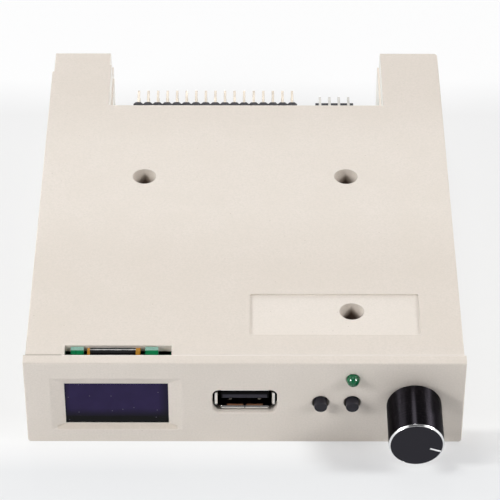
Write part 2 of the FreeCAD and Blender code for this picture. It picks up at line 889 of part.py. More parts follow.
def lip_ring():
    """The lip inside the tray's rim, which the cover drops over."""
    inner = s.wall + s.lip_gap + s.lip_wall
    outer = s.wall + s.lip_gap
    root_z = (PARTING - s.lip_root, PARTING)
    tip_z = (PARTING - s.lip_gap, PARTING + s.lip_height)
    clear_z = (root_z[0] - PAST, tip_z[1] + PAST)
    root = plan("lip root", root_z, -s.wall, -s.wall, -s.wall, BODY_FRONT)
    tip = plan("lip tip", tip_z, -outer, -outer, -outer, BODY_FRONT)
    space = plan("lip space", clear_z, -inner, -inner, -inner, BODY_FRONT - PAST)
    return cut("tray lip", fuse("lip blank", [root, tip]), [space])


def make_bottom_tray():
    z = (size(0), PARTING)
    outer = plan("tray outline", z, s.tray_step, 0, s.notch_step, BODY_FRONT)
    outer = rounded("tray tower corner", outer, s.tower_corner, is_tower_corner(s.tray_step))
    outer = rounded(
        "tray bottom edges",
        outer,
        s.bottom_edge,
        lambda edge: straight(edge, ALONG_Y) and lies_at(edge, "z", 0)
        and (lies_at(edge, "x", HALF_TRAY) or lies_at(edge, "x", -HALF_TRAY)),
    )
    outer = cut("tray outline with steps", outer, tower_reliefs("tray", z, s.tray_step, s.notch_step))
    shell = cut("tray shell", outer, [hollow("tray hollow", (s.floor, PARTING + PAST))])
    shelf = block(
        "tray rear shelf",
        (NOTCH_LEFT - s.wall / 2, NOTCH_RIGHT + s.wall / 2),
        (NOTCH_FRONT - s.wall, TRAY_REAR),
        (0, s.floor),
    )
    gate = block(
        "tray rear gate",
        (NOTCH_LEFT + s.notch_step, NOTCH_RIGHT - s.notch_step),
        (NOTCH_FRONT - s.wall - s.lip_gap - s.lip_wall - PAST, NOTCH_FRONT + s.notch_step + PAST),
        (s.board_underside - s.sill_gap, PARTING + s.lip_height + PAST),
    )
    post_places = list(SCREW_PLACES) + [(-s.screw_x, s.screw_front_y)]
    posts = [
        rod("tray post", "z", centre, (s.floor / 2, s.board_underside), s.post_radius)
        for centre in post_places
    ]
    locating_pin = rod(
        "tray locating pin",
        "z",
        post_places[-1],
        (s.floor / 2, BOARD_TOP + s.locating_pin_height),
        s.locating_pin_radius,
    )
    rear_posts = [
        rod("tray rear post", "z", (x, REAR_POST_Y), (s.floor / 2, s.board_underside), s.rear_post_radius)
        for x in (-s.rear_post_x, s.rear_post_x)
    ]
    pilots = [
        rod("tray pilot hole", "z", centre, (s.pilot_floor, s.board_underside + PAST), s.pilot_radius)
        for centre in SCREW_PLACES
    ]
    bosses = []
    bores = []
    for y in BAY_HOLE_YS:
        for side in (-1, 1):
            bosses.append(block(
                "tray side boss",
                on_side(side, HALF_TRAY - s.side_boss_depth, HALF_TRAY - s.wall / 2),
                (y - s.side_boss_half, y + s.side_boss_half),
                (0, s.side_boss_height),
            ))
            bores.append(rod(
                "tray side hole",
                "x",
                (y, s.side_hole_height),
                on_side(side, HALF_TRAY - s.side_hole_depth, HALF_TRAY + PAST),
                s.bay_hole_radius,
            ))
            centre = (s.bottom_hole_spacing / 2 * side, y)
            bosses.append(rod(
                "tray bottom boss",
                "z",
                centre,
                (s.floor / 2, s.board_underside - s.bottom_boss_gap),
                s.bottom_boss_radius,
            ))
            bores.append(rod(
                "tray bottom hole",
                "z",
                centre,
                (-PAST, s.bottom_hole_depth),
                s.bay_hole_radius,
            ))
    solid = fuse("tray with posts", [shell, shelf, locating_pin, lip_ring()] + posts + rear_posts + bosses)
    part("bottom_tray", cut("tray", solid, [gate] + pilots + bores + snap_windows()))


def snap_windows():
    """The openings in the tray's sides that the bezel's barbs catch in."""
    back = s.bezel_thickness + s.arm_length
    return [
        block(
            "tray snap window",
            on_side(side, HALF_BODY - s.wall - PAST, HALF_TRAY + PAST),
            (back - s.barb_length - s.snap_gap, back + s.snap_gap),
            (s.arm_low - s.snap_gap, s.arm_low + s.arm_width + s.snap_gap),
        )
        for side in (-1, 1)
    ]


def snap_arm(side):
    """One arm of the bezel with its barb, on the left for -1 and on the right for +1."""
    outer = HALF_BODY - s.wall - s.arm_gap
    inner = outer - s.arm_thickness
    back = s.bezel_thickness + s.arm_length
    z = (s.arm_low, s.arm_low + s.arm_width)
    thin = on_side(side, inner, outer)
    thick = on_side(side, inner, outer + s.arm_gap + s.barb_height)
    arm = block("bezel arm", thin, (s.bezel_thickness - s.arm_root, back), z)
    barb = funnel("bezel barb", (back - s.barb_length, back), thick, z, thin, z)
    return [arm, barb]


def make_front_bezel():
    width = (-HALF_BEZEL, HALF_BEZEL)
    face = block("bezel block", width, (0, s.bezel_thickness), (0, s.case_height))
    face = rounded(
        "bezel corners",
        face,
        s.bezel_corner,
        lambda edge: straight(edge, ALONG_Y) and lies_at(edge, "z", 0),
    )
    face = rounded("bezel front edges", face, s.bezel_edge, lambda edge: lies_at(edge, "y", 0))
    window_x = (DISPLAY_X - s.window_half, DISPLAY_X + s.window_half)
    opening_x = (window_x[0] + s.window_side_slope, window_x[1] - s.window_side_slope)
    window_z = (s.window_low, s.case_height - s.window_drop)
    opening_z = (window_z[0] + s.window_low_slope, OPENING_TOP)
    slope = funnel("bezel window slope", (0, s.window_slope_depth), window_x, window_z, opening_x, opening_z)
    opening_y = (s.window_slope_depth, s.bezel_thickness + PAST)
    opening = block("bezel window opening", opening_x, opening_y, opening_z)
    glass_half = s.glass_width / 2 + s.glass_gap
    pocket = block(
        "bezel glass pocket",
        (DISPLAY_X - glass_half, DISPLAY_X + glass_half),
        (s.bezel_thickness - s.glass_seat, s.bezel_thickness + PAST),
        (GLASS_LOW - s.glass_gap, GLASS_FRONT_TOP + s.glass_gap),
    )
    usb_hole = rounded(
        "bezel socket hole",
        block(
            "bezel socket block",
            (s.usb_x - USB_HOLE_HALF_WIDTH, s.usb_x + USB_HOLE_HALF_WIDTH),
            (-PAST, s.bezel_thickness + PAST),
            (s.usb_z - USB_HOLE_HALF_HEIGHT, s.usb_z + USB_HOLE_HALF_HEIGHT),
        ),
        s.usb_hole_corner,
        lambda edge: straight(edge, ALONG_Y),
    )
    through = (-PAST, s.bezel_thickness + PAST)
    button_hole_radius = s.button_radius + s.button_hole_gap
    holes = [
        rod("bezel button hole", "y", (x, s.controls_z), through, button_hole_radius)
        for x in (BUTTON_LEFT_X, s.button_x)
    ]
    holes += [
        rod("bezel light hole", "y", (s.button_x, LED_Z), through, s.led_radius + s.led_hole_gap),
        rod("bezel knob hole", "y", encoder_centre(), through, BUSHING_RADIUS + s.encoder_hole_gap),
    ]
    face = cut("bezel face", face, [slope, opening, pocket, usb_hole] + holes)
    face = rounded("bezel socket edge", face, s.usb_hole_edge, is_socket_mouth)
    part("front_bezel", fuse("bezel", [face] + snap_arm(-1) + snap_arm(1)))


def is_socket_mouth(edge):
    """Picks the front edge of the socket's opening."""
    middle = edge.BoundBox.Center
    beside = abs(middle.x - s.usb_x.value) - USB_HOLE_HALF_WIDTH.value
    above = abs(middle.z - s.usb_z.value) - USB_HOLE_HALF_HEIGHT.value
    return lies_at(edge, "y", 0) and beside < SAME and above < SAME


def make_case_screws():
    screws = []
    for centre in SCREW_PLACES:
        x, y = centre
        head_top = WELL_BOTTOM + s.screw_head_height
        shank_radius = s.pilot_radius - s.thread_gap
        shank_end = s.pilot_floor + s.screw_tip_gap
        head = rod("screw head", "z", centre, (WELL_BOTTOM, head_top), s.screw_head_radius)
        shank = rod("screw shank", "z", centre, (shank_end + shank_radius, head_top), shank_radius)
        tip = taper("screw tip", "z", centre, (shank_end, shank_end + shank_radius), 0, shank_radius)
        recess_z = (head_top - s.screw_recess_depth, head_top + PAST)
        wide = s.screw_recess_length / 2
        narrow = s.screw_recess_width / 2
        recess = [
            block("screw recess", (x - wide, x + wide), (y - narrow, y + narrow), recess_z),
            block("screw recess", (x - narrow, x + narrow), (y - wide, y + wide), recess_z),
        ]
        screws.append(cut("screw", fuse("screw blank", [head, shank, tip]), recess))
    part("case_screws", group("screws", screws))


# Main board


def drive_pin_places():
    """Column place, row height and bend place of each pin of the drive header."""
    places = []
    for x in row_places(s.drive_x, s.pitch, DRIVE_COLUMNS):
        for row in range(DRIVE_ROWS):
            z = DRIVE_LOW + s.pitch * (row + 0.5)
            bend_y = DRIVE_FRONT - s.drive_tail - s.pitch * row
            places.append((x, z, bend_y))
    return places


def jumper_pin_places():
    return [
        (x, y)
        for x in row_places(s.jumper_x, s.pitch, JUMPER_COLUMNS)
        for y in row_places(JUMPER_Y, s.pitch, JUMPER_ROWS)
    ]


def program_pin_places():
    return [(PROGRAM_X, y) for y in row_places(s.program_y, s.pitch, PROGRAM_PINS)]


def display_pin_xs():
    return row_places(DISPLAY_X, s.pitch, DISPLAY_PINS)


def encoder_link_xs():
    return row_places(ENCODER_LINK_X, s.encoder_link_pitch, ENCODER_LINK_PINS)


def power_pin_xs():
    return row_places(s.power_x, s.power_pitch, POWER_PINS)


def led_lead_xs():
    return row_places(s.button_x, s.led_lead_spacing, LED_LEAD_COUNT)


def make_main_board():
    tongue_left = NOTCH_LEFT + s.notch_step + s.board_tongue_gap
    tongue_right = NOTCH_RIGHT - s.notch_step - s.board_tongue_gap
    outline = [
        (-BOARD_HALF, BOARD_DISPLAY_FRONT),
        (BOARD_DISPLAY_SIDE, BOARD_DISPLAY_FRONT),
        (BOARD_DISPLAY_SIDE, BOARD_FRONT),
        (BOARD_ENCODER_SIDE, BOARD_FRONT),
        (BOARD_ENCODER_SIDE, BOARD_ENCODER_FRONT),
        (BOARD_HALF, BOARD_ENCODER_FRONT),
        (BOARD_HALF, BOARD_MAIN_REAR),
        (tongue_right, BOARD_MAIN_REAR),
        (tongue_right, BOARD_REAR),
        (tongue_left, BOARD_REAR),
        (tongue_left, BOARD_MAIN_REAR),
        (-BOARD_HALF, BOARD_MAIN_REAR),
    ]
    blank = plate("board blank", outline, (s.board_underside, BOARD_TOP))
    through = (s.board_underside - PAST, BOARD_TOP + PAST)

    def hole(x, y, radius):
        return rod("board hole", "z", (x, y), through, radius)

    holes = [hole(x, y, s.screw_board_hole) for x, y in SCREW_PLACES]
    holes.append(hole(-s.screw_x, s.screw_front_y, s.locating_pin_radius + s.locating_pin_gap))
    holes += [hole(x, bend_y, s.pin_hole_radius) for x, z, bend_y in drive_pin_places()]
    holes += [hole(x, POWER_FRONT - s.power_tail, s.pin_hole_radius) for x in power_pin_xs()]
    holes += [hole(x, DISPLAY_PIN_Y, s.pin_hole_radius) for x in display_pin_xs()]
    holes += [hole(x, ENCODER_LINK_Y, s.pin_hole_radius) for x in encoder_link_xs()]
    holes += [hole(x, y, s.pin_hole_radius) for x, y in jumper_pin_places() + program_pin_places()]
    holes += [hole(x, s.led_lead_bend, s.lead_hole_radius) for x in led_lead_xs()]
    part("main_board", cut("board", blank, holes))


def header_body(name, axis, columns, rows, centre, span, openings):
    """A pin header's body, with notches between its cells and a square hole for each pin.

    centre is the middle of the block across its pins; span is its extent along them."""
    x, across = centre
    half_length = s.pitch * columns / 2
    half_width = s.pitch * rows / 2
    cross = (across - half_width, across + half_width)
    length = (x - half_length, x + half_length)
    if axis == "y":
        blank = block(name + " blank", length, span, cross)
    else:
        blank = block(name + " blank", length, cross, span)
    notches = [
        prism(
            name + " notch",
            axis,
            (length[0] + s.pitch * column, cross[0] + s.pitch * row),
            (span[0] - PAST, span[1] + PAST),
            SQUARE_CORNER_COUNT,
            s.header_notch,
        )
        for column in range(columns + 1)
        for row in range(rows + 1)
        if column in (0, columns) or row in (0, rows)
    ]
    part(name, cut(name + " cells", blank, notches + openings))


def make_drive_header():
    half = s.pin / 2 + s.pin_fit
    through = (DRIVE_FRONT - PAST, DRIVE_REAR + PAST)
    openings = [
        block("drive pin opening", (x - half, x + half), through, (z - half, z + half))
        for x, z, bend_y in drive_pin_places()
    ]
    middle = (s.drive_x, DRIVE_LOW + s.pitch * DRIVE_ROWS / 2)
    span = (DRIVE_FRONT, DRIVE_REAR)
    header_body("drive_header_body", "y", DRIVE_COLUMNS, DRIVE_ROWS, middle, span, openings)
    pins = [
        rear_pin("drive pin", x, DRIVE_REAR + s.drive_tip, bend_y, z, s.pin)
        for x, z, bend_y in drive_pin_places()
    ]
    part("drive_header_pins", group("drive pins", pins))


def make_power_header():
    z = POWER_TOP - s.pin / 2
    slot_half = s.pin / 2 + s.power_slot_gap
    blank = block(
        "power header blank",
        (s.power_x - s.power_width / 2, s.power_x + s.power_width / 2),
        (POWER_FRONT, POWER_REAR),
        (BOARD_TOP, POWER_TOP),
    )
    slots = [
        block(
            "power slot",
            (x - slot_half, x + slot_half),
            (POWER_FRONT - PAST, POWER_REAR + PAST),
            (POWER_TOP - s.pin - s.power_slot_gap, POWER_TOP + PAST),
        )
        for x in power_pin_xs()
    ]
    part("power_header_body", cut("power header", blank, slots))
    pins = [
        rear_pin("power pin", x, POWER_REAR + s.power_tip, POWER_FRONT - s.power_tail, z, s.pin)
        for x in power_pin_xs()
    ]
    part("power_header_pins", group("power pins", pins))


def upright_header(name, columns, rows, centre, pin_places):
    """A straight header that stands on the main board, with its body and its pins."""
    span = (BOARD_TOP, BOARD_TOP + s.pitch)
    pin_half = s.pin / 2
    hole_half = pin_half + s.pin_fit
    openings = []
    pins = []
    for x, y in pin_places:
        openings.append(block(
            name + " pin opening",
            (x - hole_half, x + hole_half),
            (y - hole_half, y + hole_half),
            (span[0] - PAST, span[1] + PAST),
        ))
        pins.append(block(
            name + " pin",
            (x - pin_half, x + pin_half),
            (y - pin_half, y + pin_half),
            (PIN_END, span[1] + s.upright_pin_height),
        ))
    header_body(name + "_body", "z", columns, rows, centre, span, openings)
    part(name + "_pins", group(name + " pins", pins))


def make_jumper_header():
    centre = (s.jumper_x, JUMPER_Y)
    upright_header("jumper_header", JUMPER_COLUMNS, JUMPER_ROWS, centre, jumper_pin_places())
    column_xs = row_places(s.jumper_x, s.pitch, JUMPER_COLUMNS)
    row_ys = row_places(JUMPER_Y, s.pitch, JUMPER_ROWS)
    low = BOARD_TOP + s.pitch + s.cap_gap
    high = low + s.cap_height
    hole_half = s.pin / 2 + s.cap_gap
    reach = hole_half + s.cap_wall
    caps = []
    for column in JUMPER_CAP_COLUMNS:
        x = column_xs[column]
        blank = block(
            "jumper cap block",
            (x - reach, x + reach),
            (row_ys[0] - reach, row_ys[-1] + reach),
            (low, high),
        )
        sockets = [
            block(
                "jumper cap socket",
                (x - hole_half, x + hole_half),
                (y - hole_half, y + hole_half),
                (low - PAST, high + PAST),
            )
            for y in row_ys
        ]
        caps.append(cut("jumper cap", blank, sockets))
    part("jumper_caps", group("jumper caps", caps))


def make_program_header():
    """Four straight pins in a row along Y, for loading the firmware."""
    centre = (PROGRAM_X, s.program_y)
    upright_header("program_header", 1, PROGRAM_PINS, centre, program_pin_places())


def make_processor():
    half = s.chip_side / 2
    low = BOARD_TOP + s.chip_standoff
    part("processor_chip", block(
        "processor",
        (s.chip_x - half, s.chip_x + half),
        (s.chip_y - half, s.chip_y + half),
        (low, low + s.chip_height),
    ))
    lead_half = s.chip_pin_width / 2
    lead_z = (BOARD_TOP, BOARD_TOP + s.chip_pin_thickness)
    leads = []
    for offset in row_places(0, s.chip_pin_pitch, CHIP_PINS_PER_SIDE):
        for side in (-1, 1):
            near, far = on_side(side, half, half + s.chip_pin_reach)
            leads.append(block(
                "processor side lead",
                (s.chip_x + near, s.chip_x + far),
                (s.chip_y + offset - lead_half, s.chip_y + offset + lead_half),
                lead_z,
            ))
            leads.append(block(
                "processor end lead",
                (s.chip_x + offset - lead_half, s.chip_x + offset + lead_half),
                (s.chip_y + near, s.chip_y + far),
                lead_z,
            ))
    part("processor_leads", group("processor leads", leads))


def make_crystal():
    """A flat-sided can with round ends."""
    radius = s.crystal_width / 2
    reach = s.crystal_length / 2 - radius
    z = (BOARD_TOP, BOARD_TOP + s.crystal_height)
    x = (s.crystal_x - radius, s.crystal_x + radius)
    y = (s.crystal_y - reach, s.crystal_y + reach)
    pieces = [block("crystal middle", x, y, z)]
    pieces += [rod("crystal end", "z", (s.crystal_x, end_y), z, radius) for end_y in y]
    part("crystal", fuse("crystal can", pieces))


def make_capacitors():
    y = CAPACITOR_Y
    half = s.capacitor_base / 2
    base_top = BOARD_TOP + s.capacitor_base_height
    top = BOARD_TOP + s.capacitor_height
    cans = []
    for x in (s.capacitor_x, s.capacitor_x + s.capacitor_spacing):
        base = block("capacitor base", (x - half, x + half), (y - half, y + half), (BOARD_TOP, base_top))
        can = rod("capacitor can", "z", (x, y), (base_top, top), s.capacitor_radius)
        can = rounded("capacitor rim", can, s.capacitor_edge, lambda edge: lies_at(edge, "z", top))
        cans.append(fuse("capacitor", [base, can]))
    part("capacitors", group("capacitors", cans))


def make_regulator():
    x = s.regulator_x
    y = REGULATOR_Y
    half_x = s.regulator_length / 2
    half_y = s.regulator_width / 2
    reach = half_y + s.regulator_reach
    body_z = (BOARD_TOP + s.chip_standoff, BOARD_TOP + s.regulator_height)
    sheet_z = (BOARD_TOP, BOARD_TOP + s.regulator_sheet)
    tab_half = s.regulator_tab / 2
    leg_half = s.regulator_pin / 2
    pieces = [
        block("regulator body", (x - half_x, x + half_x), (y - half_y, y + half_y), body_z),
        block("regulator tab", (x - tab_half, x + tab_half), (y, y + reach), sheet_z),
    ]
    for leg_x in row_places(x, s.regulator_pitch, REGULATOR_LEGS):
        pieces.append(block("regulator leg", (leg_x - leg_half, leg_x + leg_half), (y - reach, y), sheet_z))
    part("voltage_regulator", fuse("regulator", pieces))


def make_small_parts():
    half_x = s.chip_part_width / 2
    half_y = s.chip_part_length / 2
    z = (BOARD_TOP, BOARD_TOP + s.chip_part_height)
    pieces = [
        block("chip part", (x - half_x, x + half_x), (y - half_y, y + half_y), z)
        for x in row_places(s.chip_part_x, s.chip_part_pitch, CHIP_PART_COLUMNS)
        for y in row_places(s.chip_part_y, s.chip_part_pitch, CHIP_PART_ROWS)
    ]
    part("chip_resistors", group("chip resistors", pieces))


# Display


def make_display():
    half = s.glass_width / 2
    x = (DISPLAY_X - half, DISPLAY_X + half)
    front_y = (GLASS_FRONT, GLASS_MIDDLE)
    rear_y = (GLASS_MIDDLE, GLASS_BACK)
    front_sheet = block("display front glass", x, front_y, (GLASS_LOW, GLASS_FRONT_TOP))
    rear_sheet = block("display rear glass", x, rear_y, (GLASS_LOW, GLASS_TOP))
    part("display_glass", fuse("display glass", [front_sheet, rear_sheet]))
    part("display_tape", block(
        "display tape",
        (x[0] + s.tape_margin, x[1] - s.tape_margin),
        (GLASS_BACK, DISPLAY_BOARD_FRONT),
        (GLASS_LOW + s.tape_margin, GLASS_TOP - s.tape_margin),
    ))
    make_display_board()
    make_display_flex()
    run_y = (DISPLAY_BOARD_FRONT - s.pin_stub, DISPLAY_PIN_Y)
    end_z = BOARD_TOP + s.pin_below_board
    pins = [
        bent_pin("display pin", pin_x, run_y, DISPLAY_PIN_Z, end_z, s.pin)
        for pin_x in display_pin_xs()
    ]
    part("display_pins", group("display pins", pins))


def make_display_board():
    y = (DISPLAY_BOARD_FRONT, DISPLAY_BOARD_BACK)
    through = (DISPLAY_BOARD_FRONT - PAST, DISPLAY_BOARD_BACK + PAST)
    left = DISPLAY_X - DISPLAY_BOARD_HALF
    right = DISPLAY_X + DISPLAY_BOARD_HALF
    panel = block("display board panel", (left, right), y, (DISPLAY_BOARD_LOW, DISPLAY_BOARD_TOP))
    overlap = DISPLAY_BOARD_TOP - s.tab_width
    tab_top = s.case_height - s.tab_drop
    tabs = [
        block("display board tab", (TAB_LEFT, TAB_LEFT + s.tab_width), y, (overlap, tab_top)),
        block("display board tab", (TAB_RIGHT - s.tab_width, TAB_RIGHT), y, (overlap, tab_top)),
    ]
    corner_z = DISPLAY_BOARD_LOW + s.display_hole_inset
    holes = [
        rod("display board hole", "y", (x, corner_z), through, s.display_hole_radius)
        for x in (left + s.display_hole_inset, right - s.display_hole_inset)
    ]
    pin_holes = [
        rod("display pin hole", "y", (x, DISPLAY_PIN_Z), through, s.pin_hole_radius)
        for x in display_pin_xs()
    ]
    blank = fuse("display board blank", [panel] + tabs)
    part("display_board", cut("display board outline", blank, holes + pin_holes))


def make_display_flex():
    """The flat cable that leaves the glass upwards and folds over the top of its board."""
    x = (TAB_LEFT + s.tab_width + s.flex_left_gap, TAB_RIGHT - s.tab_width - s.flex_right_gap)
    front = GLASS_MIDDLE - s.flex_thickness
    back = FLEX_BACK
    bond_low = GLASS_TOP - s.flex_bond
    outside = block("flex outside", x, (front, back), (bond_low, FLEX_TOP))
    inside = block(
        "flex inside",
        (x[0] - PAST, x[1] + PAST),
        (front + s.flex_thickness, back - s.flex_thickness),
        (bond_low - PAST, FLEX_TOP - s.flex_thickness),
    )
    outside = rounded("flex outer front bend", outside, s.flex_front_bend, is_ridge(front, FLEX_TOP))
    outside = rounded("flex outer rear bend", outside, s.flex_rear_bend, is_ridge(back, FLEX_TOP))
    inner_top = FLEX_TOP - s.flex_thickness
    inner_front_bend = s.flex_front_bend - s.flex_thickness
    inner_rear_bend = s.flex_rear_bend - s.flex_thickness
    inside = rounded("flex inner front bend", inside, inner_front_bend,
                     is_ridge(front + s.flex_thickness, inner_top))
    inside = rounded("flex inner rear bend", inside, inner_rear_bend,
                     is_ridge(back - s.flex_thickness, inner_top))
    tail = block("flex tail", x, (back - s.flex_thickness, back), (bond_low - s.flex_tail, bond_low))
    part("display_flex", fuse("flex", [cut("flex fold", outside, [inside]), tail]))


def is_ridge(y, z):
    """Picks an edge along X at one place in Y and Z."""
    def wanted(edge):
        return lies_at(edge, "y", y) and lies_at(edge, "z", z)
    return wanted


# USB socket


def make_usb_socket():
    half = s.usb_width / 2
    x = (s.usb_x - half, s.usb_x + half)
    z = (USB_BOTTOM, USB_TOP)
    inner_x = (x[0] + s.usb_sheet, x[1] - s.usb_sheet)
    inner_z = (z[0] + s.usb_sheet, z[1] - s.usb_sheet)
    space_y = (s.usb_front - PAST, USB_BACK - s.usb_sheet)
    tube = cut(
        "socket tube",
        round_bar("socket tube block", x, (s.usb_front, USB_BACK), z, s.usb_corner),
        [round_bar("socket tube space", inner_x, space_y, inner_z, s.usb_corner - s.usb_sheet)],
    )
    spread_x = s.usb_lip_side_spread
    spread_z = s.usb_lip_spread
    mouth = (s.usb_lip_front, s.usb_front)
    wide_x = (x[0] - spread_x, x[1] + spread_x)
    wide_z = (z[0] - spread_z, z[1] + spread_z)
    wide_inner_x = (inner_x[0] - spread_x, inner_x[1] + spread_x)
    wide_inner_z = (inner_z[0] - spread_z, inner_z[1] + spread_z)
    lips = cut(
        "socket lips",
        funnel("socket lips outside", mouth, wide_x, wide_z, x, z),
        [funnel("socket lips inside", mouth, wide_inner_x, wide_inner_z, inner_x, inner_z)],
    )
    end = s.usb_lip_corner
    side_end = s.usb_lip_side_corner
    corner_y = (s.usb_lip_front - PAST, s.usb_front)
    corners = [
        block("socket lip corner", corner_x, corner_y, corner_z)
        for corner_x in ((wide_x[0] - PAST, x[0] + end), (x[1] - end, wide_x[1] + PAST))
        for corner_z in ((wide_z[0] - PAST, z[0] + side_end), (z[1] - side_end, wide_z[1] + PAST))
    ]
    lead_half = s.usb_contact_width / 2 + s.usb_fit
    lead_y = (USB_BACK - s.usb_sheet - PAST, USB_BACK + PAST)
    lead_z = (USB_BOTTOM - PAST, TONGUE_LOW + s.usb_fit)
    lead_slots = [
        block("socket lead slot", (lead_x - lead_half, lead_x + lead_half), lead_y, lead_z)
        for lead_x in usb_contact_xs()
    ]
    part("usb_shell", fuse("socket shell", [
        cut("socket tube with slots", tube, lead_slots),
        cut("socket lips apart", lips, corners),
    ] + usb_springs(inner_z[0])))
    make_usb_insulator(inner_x, inner_z)
    make_usb_contacts()


def round_bar(label, x, y, z, corner):
    """A bar along Y whose long edges are rounded."""
    bar = block(label, x, y, z)
    return rounded(label + " rounding", bar, corner, lambda edge: straight(edge, ALONG_Y))


def usb_springs(wall_z):
    """The two springs that rise from the wall under the plug, each up to a peak and down again."""
    half = s.usb_spring_width / 2
    low = wall_z - s.usb_sheet / 2
    flat_z = (low, wall_z)
    peak_z = (low, wall_z + s.usb_spring_rise)
    springs = []
    for centre_x in (s.usb_x - s.usb_spring_x, s.usb_x + s.usb_spring_x):
        x = (centre_x - half, centre_x + half)
        up_y = (s.usb_spring_root, s.usb_spring_peak)
        down_y = (s.usb_spring_peak, s.usb_spring_end)
        springs.append(funnel("socket spring front", up_y, x, flat_z, x, peak_z))
        springs.append(funnel("socket spring back", down_y, x, peak_z, x, flat_z))
    return springs


def usb_contact_xs():
    return [
        s.usb_x - s.usb_contact_outer,
        s.usb_x - s.usb_contact_inner,
        s.usb_x + s.usb_contact_inner,
        s.usb_x + s.usb_contact_outer,
    ]


def make_usb_insulator(inner_x, inner_z):
    """The tongue in the socket, its root block and the foot under the metal shell."""
    half = s.usb_width / 2 - s.usb_sheet - s.tongue_side_gap
    back = USB_BACK - s.usb_sheet - s.usb_fit
    tongue = block(
        "socket tongue",
        (s.usb_x - half, s.usb_x + half),
        (s.tongue_front, back),
        (TONGUE_LOW, TONGUE_TOP),
    )
    root = round_bar(
        "socket root",
        (inner_x[0] + s.usb_fit, inner_x[1] - s.usb_fit),
        (back - s.tongue_block, back),
        (inner_z[0] + s.usb_fit, inner_z[1] - s.usb_fit),
        s.usb_corner - s.usb_sheet - s.usb_fit,
    )
    lead_half = s.usb_contact_width / 2 + s.usb_fit
    groove_y = (back - s.tongue_block - PAST, back + PAST)
    groove_z = (USB_BOTTOM - PAST, TONGUE_LOW)
    grooves = [
        block("socket root groove", (x - lead_half, x + lead_half), groove_y, groove_z)
        for x in usb_contact_xs()
    ]
    blank = fuse("socket insulator blank", [tongue, root])
    part("usb_insulator", cut("socket insulator", blank, grooves))
    foot_x = (s.usb_x - s.usb_width / 2, s.usb_x + s.usb_width / 2)
    part("usb_foot", block("socket foot", foot_x, (BOARD_FRONT, USB_BACK), (BOARD_TOP, USB_BOTTOM)))


def make_usb_contacts():
    half = s.usb_contact_width / 2
    tail_back = USB_BACK + s.usb_contact_tail
    tail_y = (tail_back - s.usb_contact_thickness, tail_back)
    blade_y = (s.usb_contact_front, tail_back)
    contacts = []
    for centre_x in usb_contact_xs():
        x = (centre_x - half, centre_x + half)
        blade = block("socket contact blade", x, blade_y, (CONTACT_LOW, TONGUE_LOW))
        tail = block("socket contact tail", x, tail_y, (BOARD_TOP, TONGUE_LOW))
        contacts.append(fuse("socket contact", [blade, tail]))
    part("usb_contacts", group("socket contacts", contacts))


# Push buttons and status light


def make_button(side, x):
    """A right-angle push switch: its housing and steel cover stay on the board, its button slides."""
    centre = (x, s.controls_z)
    back = SWITCH_FRONT + s.switch_depth
    top = s.controls_z + s.switch_half
    inner_x = (x - s.switch_half, x + s.switch_half)
    dome_span = (SWITCH_DOME_FRONT, SWITCH_DOME_FRONT + s.dome_thickness)
    housing = block(side + " switch block", inner_x, (SWITCH_FRONT, back), (BOARD_TOP, top))
    mouth_span = (SWITCH_FRONT - PAST, BUTTON_BACK)
    mouth = rod(side + " switch mouth", "y", centre, mouth_span, s.button_radius + s.button_gap)
    cavity_span = (SWITCH_CAVITY_FRONT, dome_span[1])
    cavity = rod(side + " switch cavity", "y", centre, cavity_span, SWITCH_CAVITY_RADIUS)
    part("switch_%s_housing" % side, cut(side + " switch housing", housing, [mouth, cavity]))

    outer = s.switch_half + s.switch_cover_sheet
    cover_y = (back - s.switch_cover_depth, back + s.switch_cover_sheet)
    cover = block(
        side + " switch cover block",
        (x - outer, x + outer),
        cover_y,
        (BOARD_TOP, top + s.switch_cover_sheet),
    )
    space = block(side + " switch cover space", inner_x, (cover_y[0] - PAST, back), (BOARD_TOP - PAST, top))
    part("switch_%s_cover" % side, cut(side + " switch cover", cover, [space]))

    tip_y = -s.button_proud
    stem = rod(side + " button stem", "y", centre, (tip_y, BUTTON_BACK), s.button_radius)
    stem = rounded(side + " button tip", stem, s.button_edge, lambda edge: lies_at(edge, "y", tip_y))
    flange_span = (BUTTON_FLANGE_FRONT, BUTTON_BACK)
    flange = rod(side + " button flange", "y", centre, flange_span, BUTTON_FLANGE_RADIUS)
    part("button_" + side, fuse(side + " button", [stem, flange]))

    dome_rim = SWITCH_CAVITY_RADIUS - s.dome_gap
    return taper(side + " switch dome", "y", centre, dome_span, s.button_radius, dome_rim)


def make_buttons():
    domes = [make_button("left", BUTTON_LEFT_X), make_button("right", s.button_x)]
    part("switch_domes", group("switch domes", domes))


def make_status_light():
    centre = (s.button_x, LED_Z)
    dome_y = s.led_radius - s.led_proud
    ball = doc.addObject("Part::Sphere", "Ball")
    ball.Label = "light dome"
    bind(ball, "Radius", s.led_radius)
    place(ball, s.button_x, dome_y, LED_Z)
    flange_front = s.bezel_thickness + s.seat_gap
    flange_back = flange_front + s.led_flange
    barrel = rod("light barrel", "y", centre, (dome_y, flange_back), s.led_radius)
    flange = rod("light flange", "y", centre, (flange_front, flange_back), s.led_radius + s.led_flange_step)
    part("led_lens", fuse("light lens", [ball, barrel, flange]))
    leads = [
        bent_pin("light lead", x, (flange_back, s.led_lead_bend), LED_Z, PIN_END, s.led_lead)
        for x in led_lead_xs()
    ]
    part("led_leads", group("light leads", leads))


# Rotary encoder


def encoder_centre():
    return (ENCODER_X, s.controls_z)


def flatted_rod(label, span, radius, flat, flat_span):
    """A round bar along the encoder's axis with one flat, on the +X side."""
    bar = rod(label + " round", "y", encoder_centre(), span, radius)
    trim = block(
        label + " flat",
        (ENCODER_X + flat, ENCODER_X + radius + PAST),
        flat_span,
        (s.controls_z - radius - PAST, s.controls_z + radius + PAST),
    )
    return cut(label, bar, [trim])


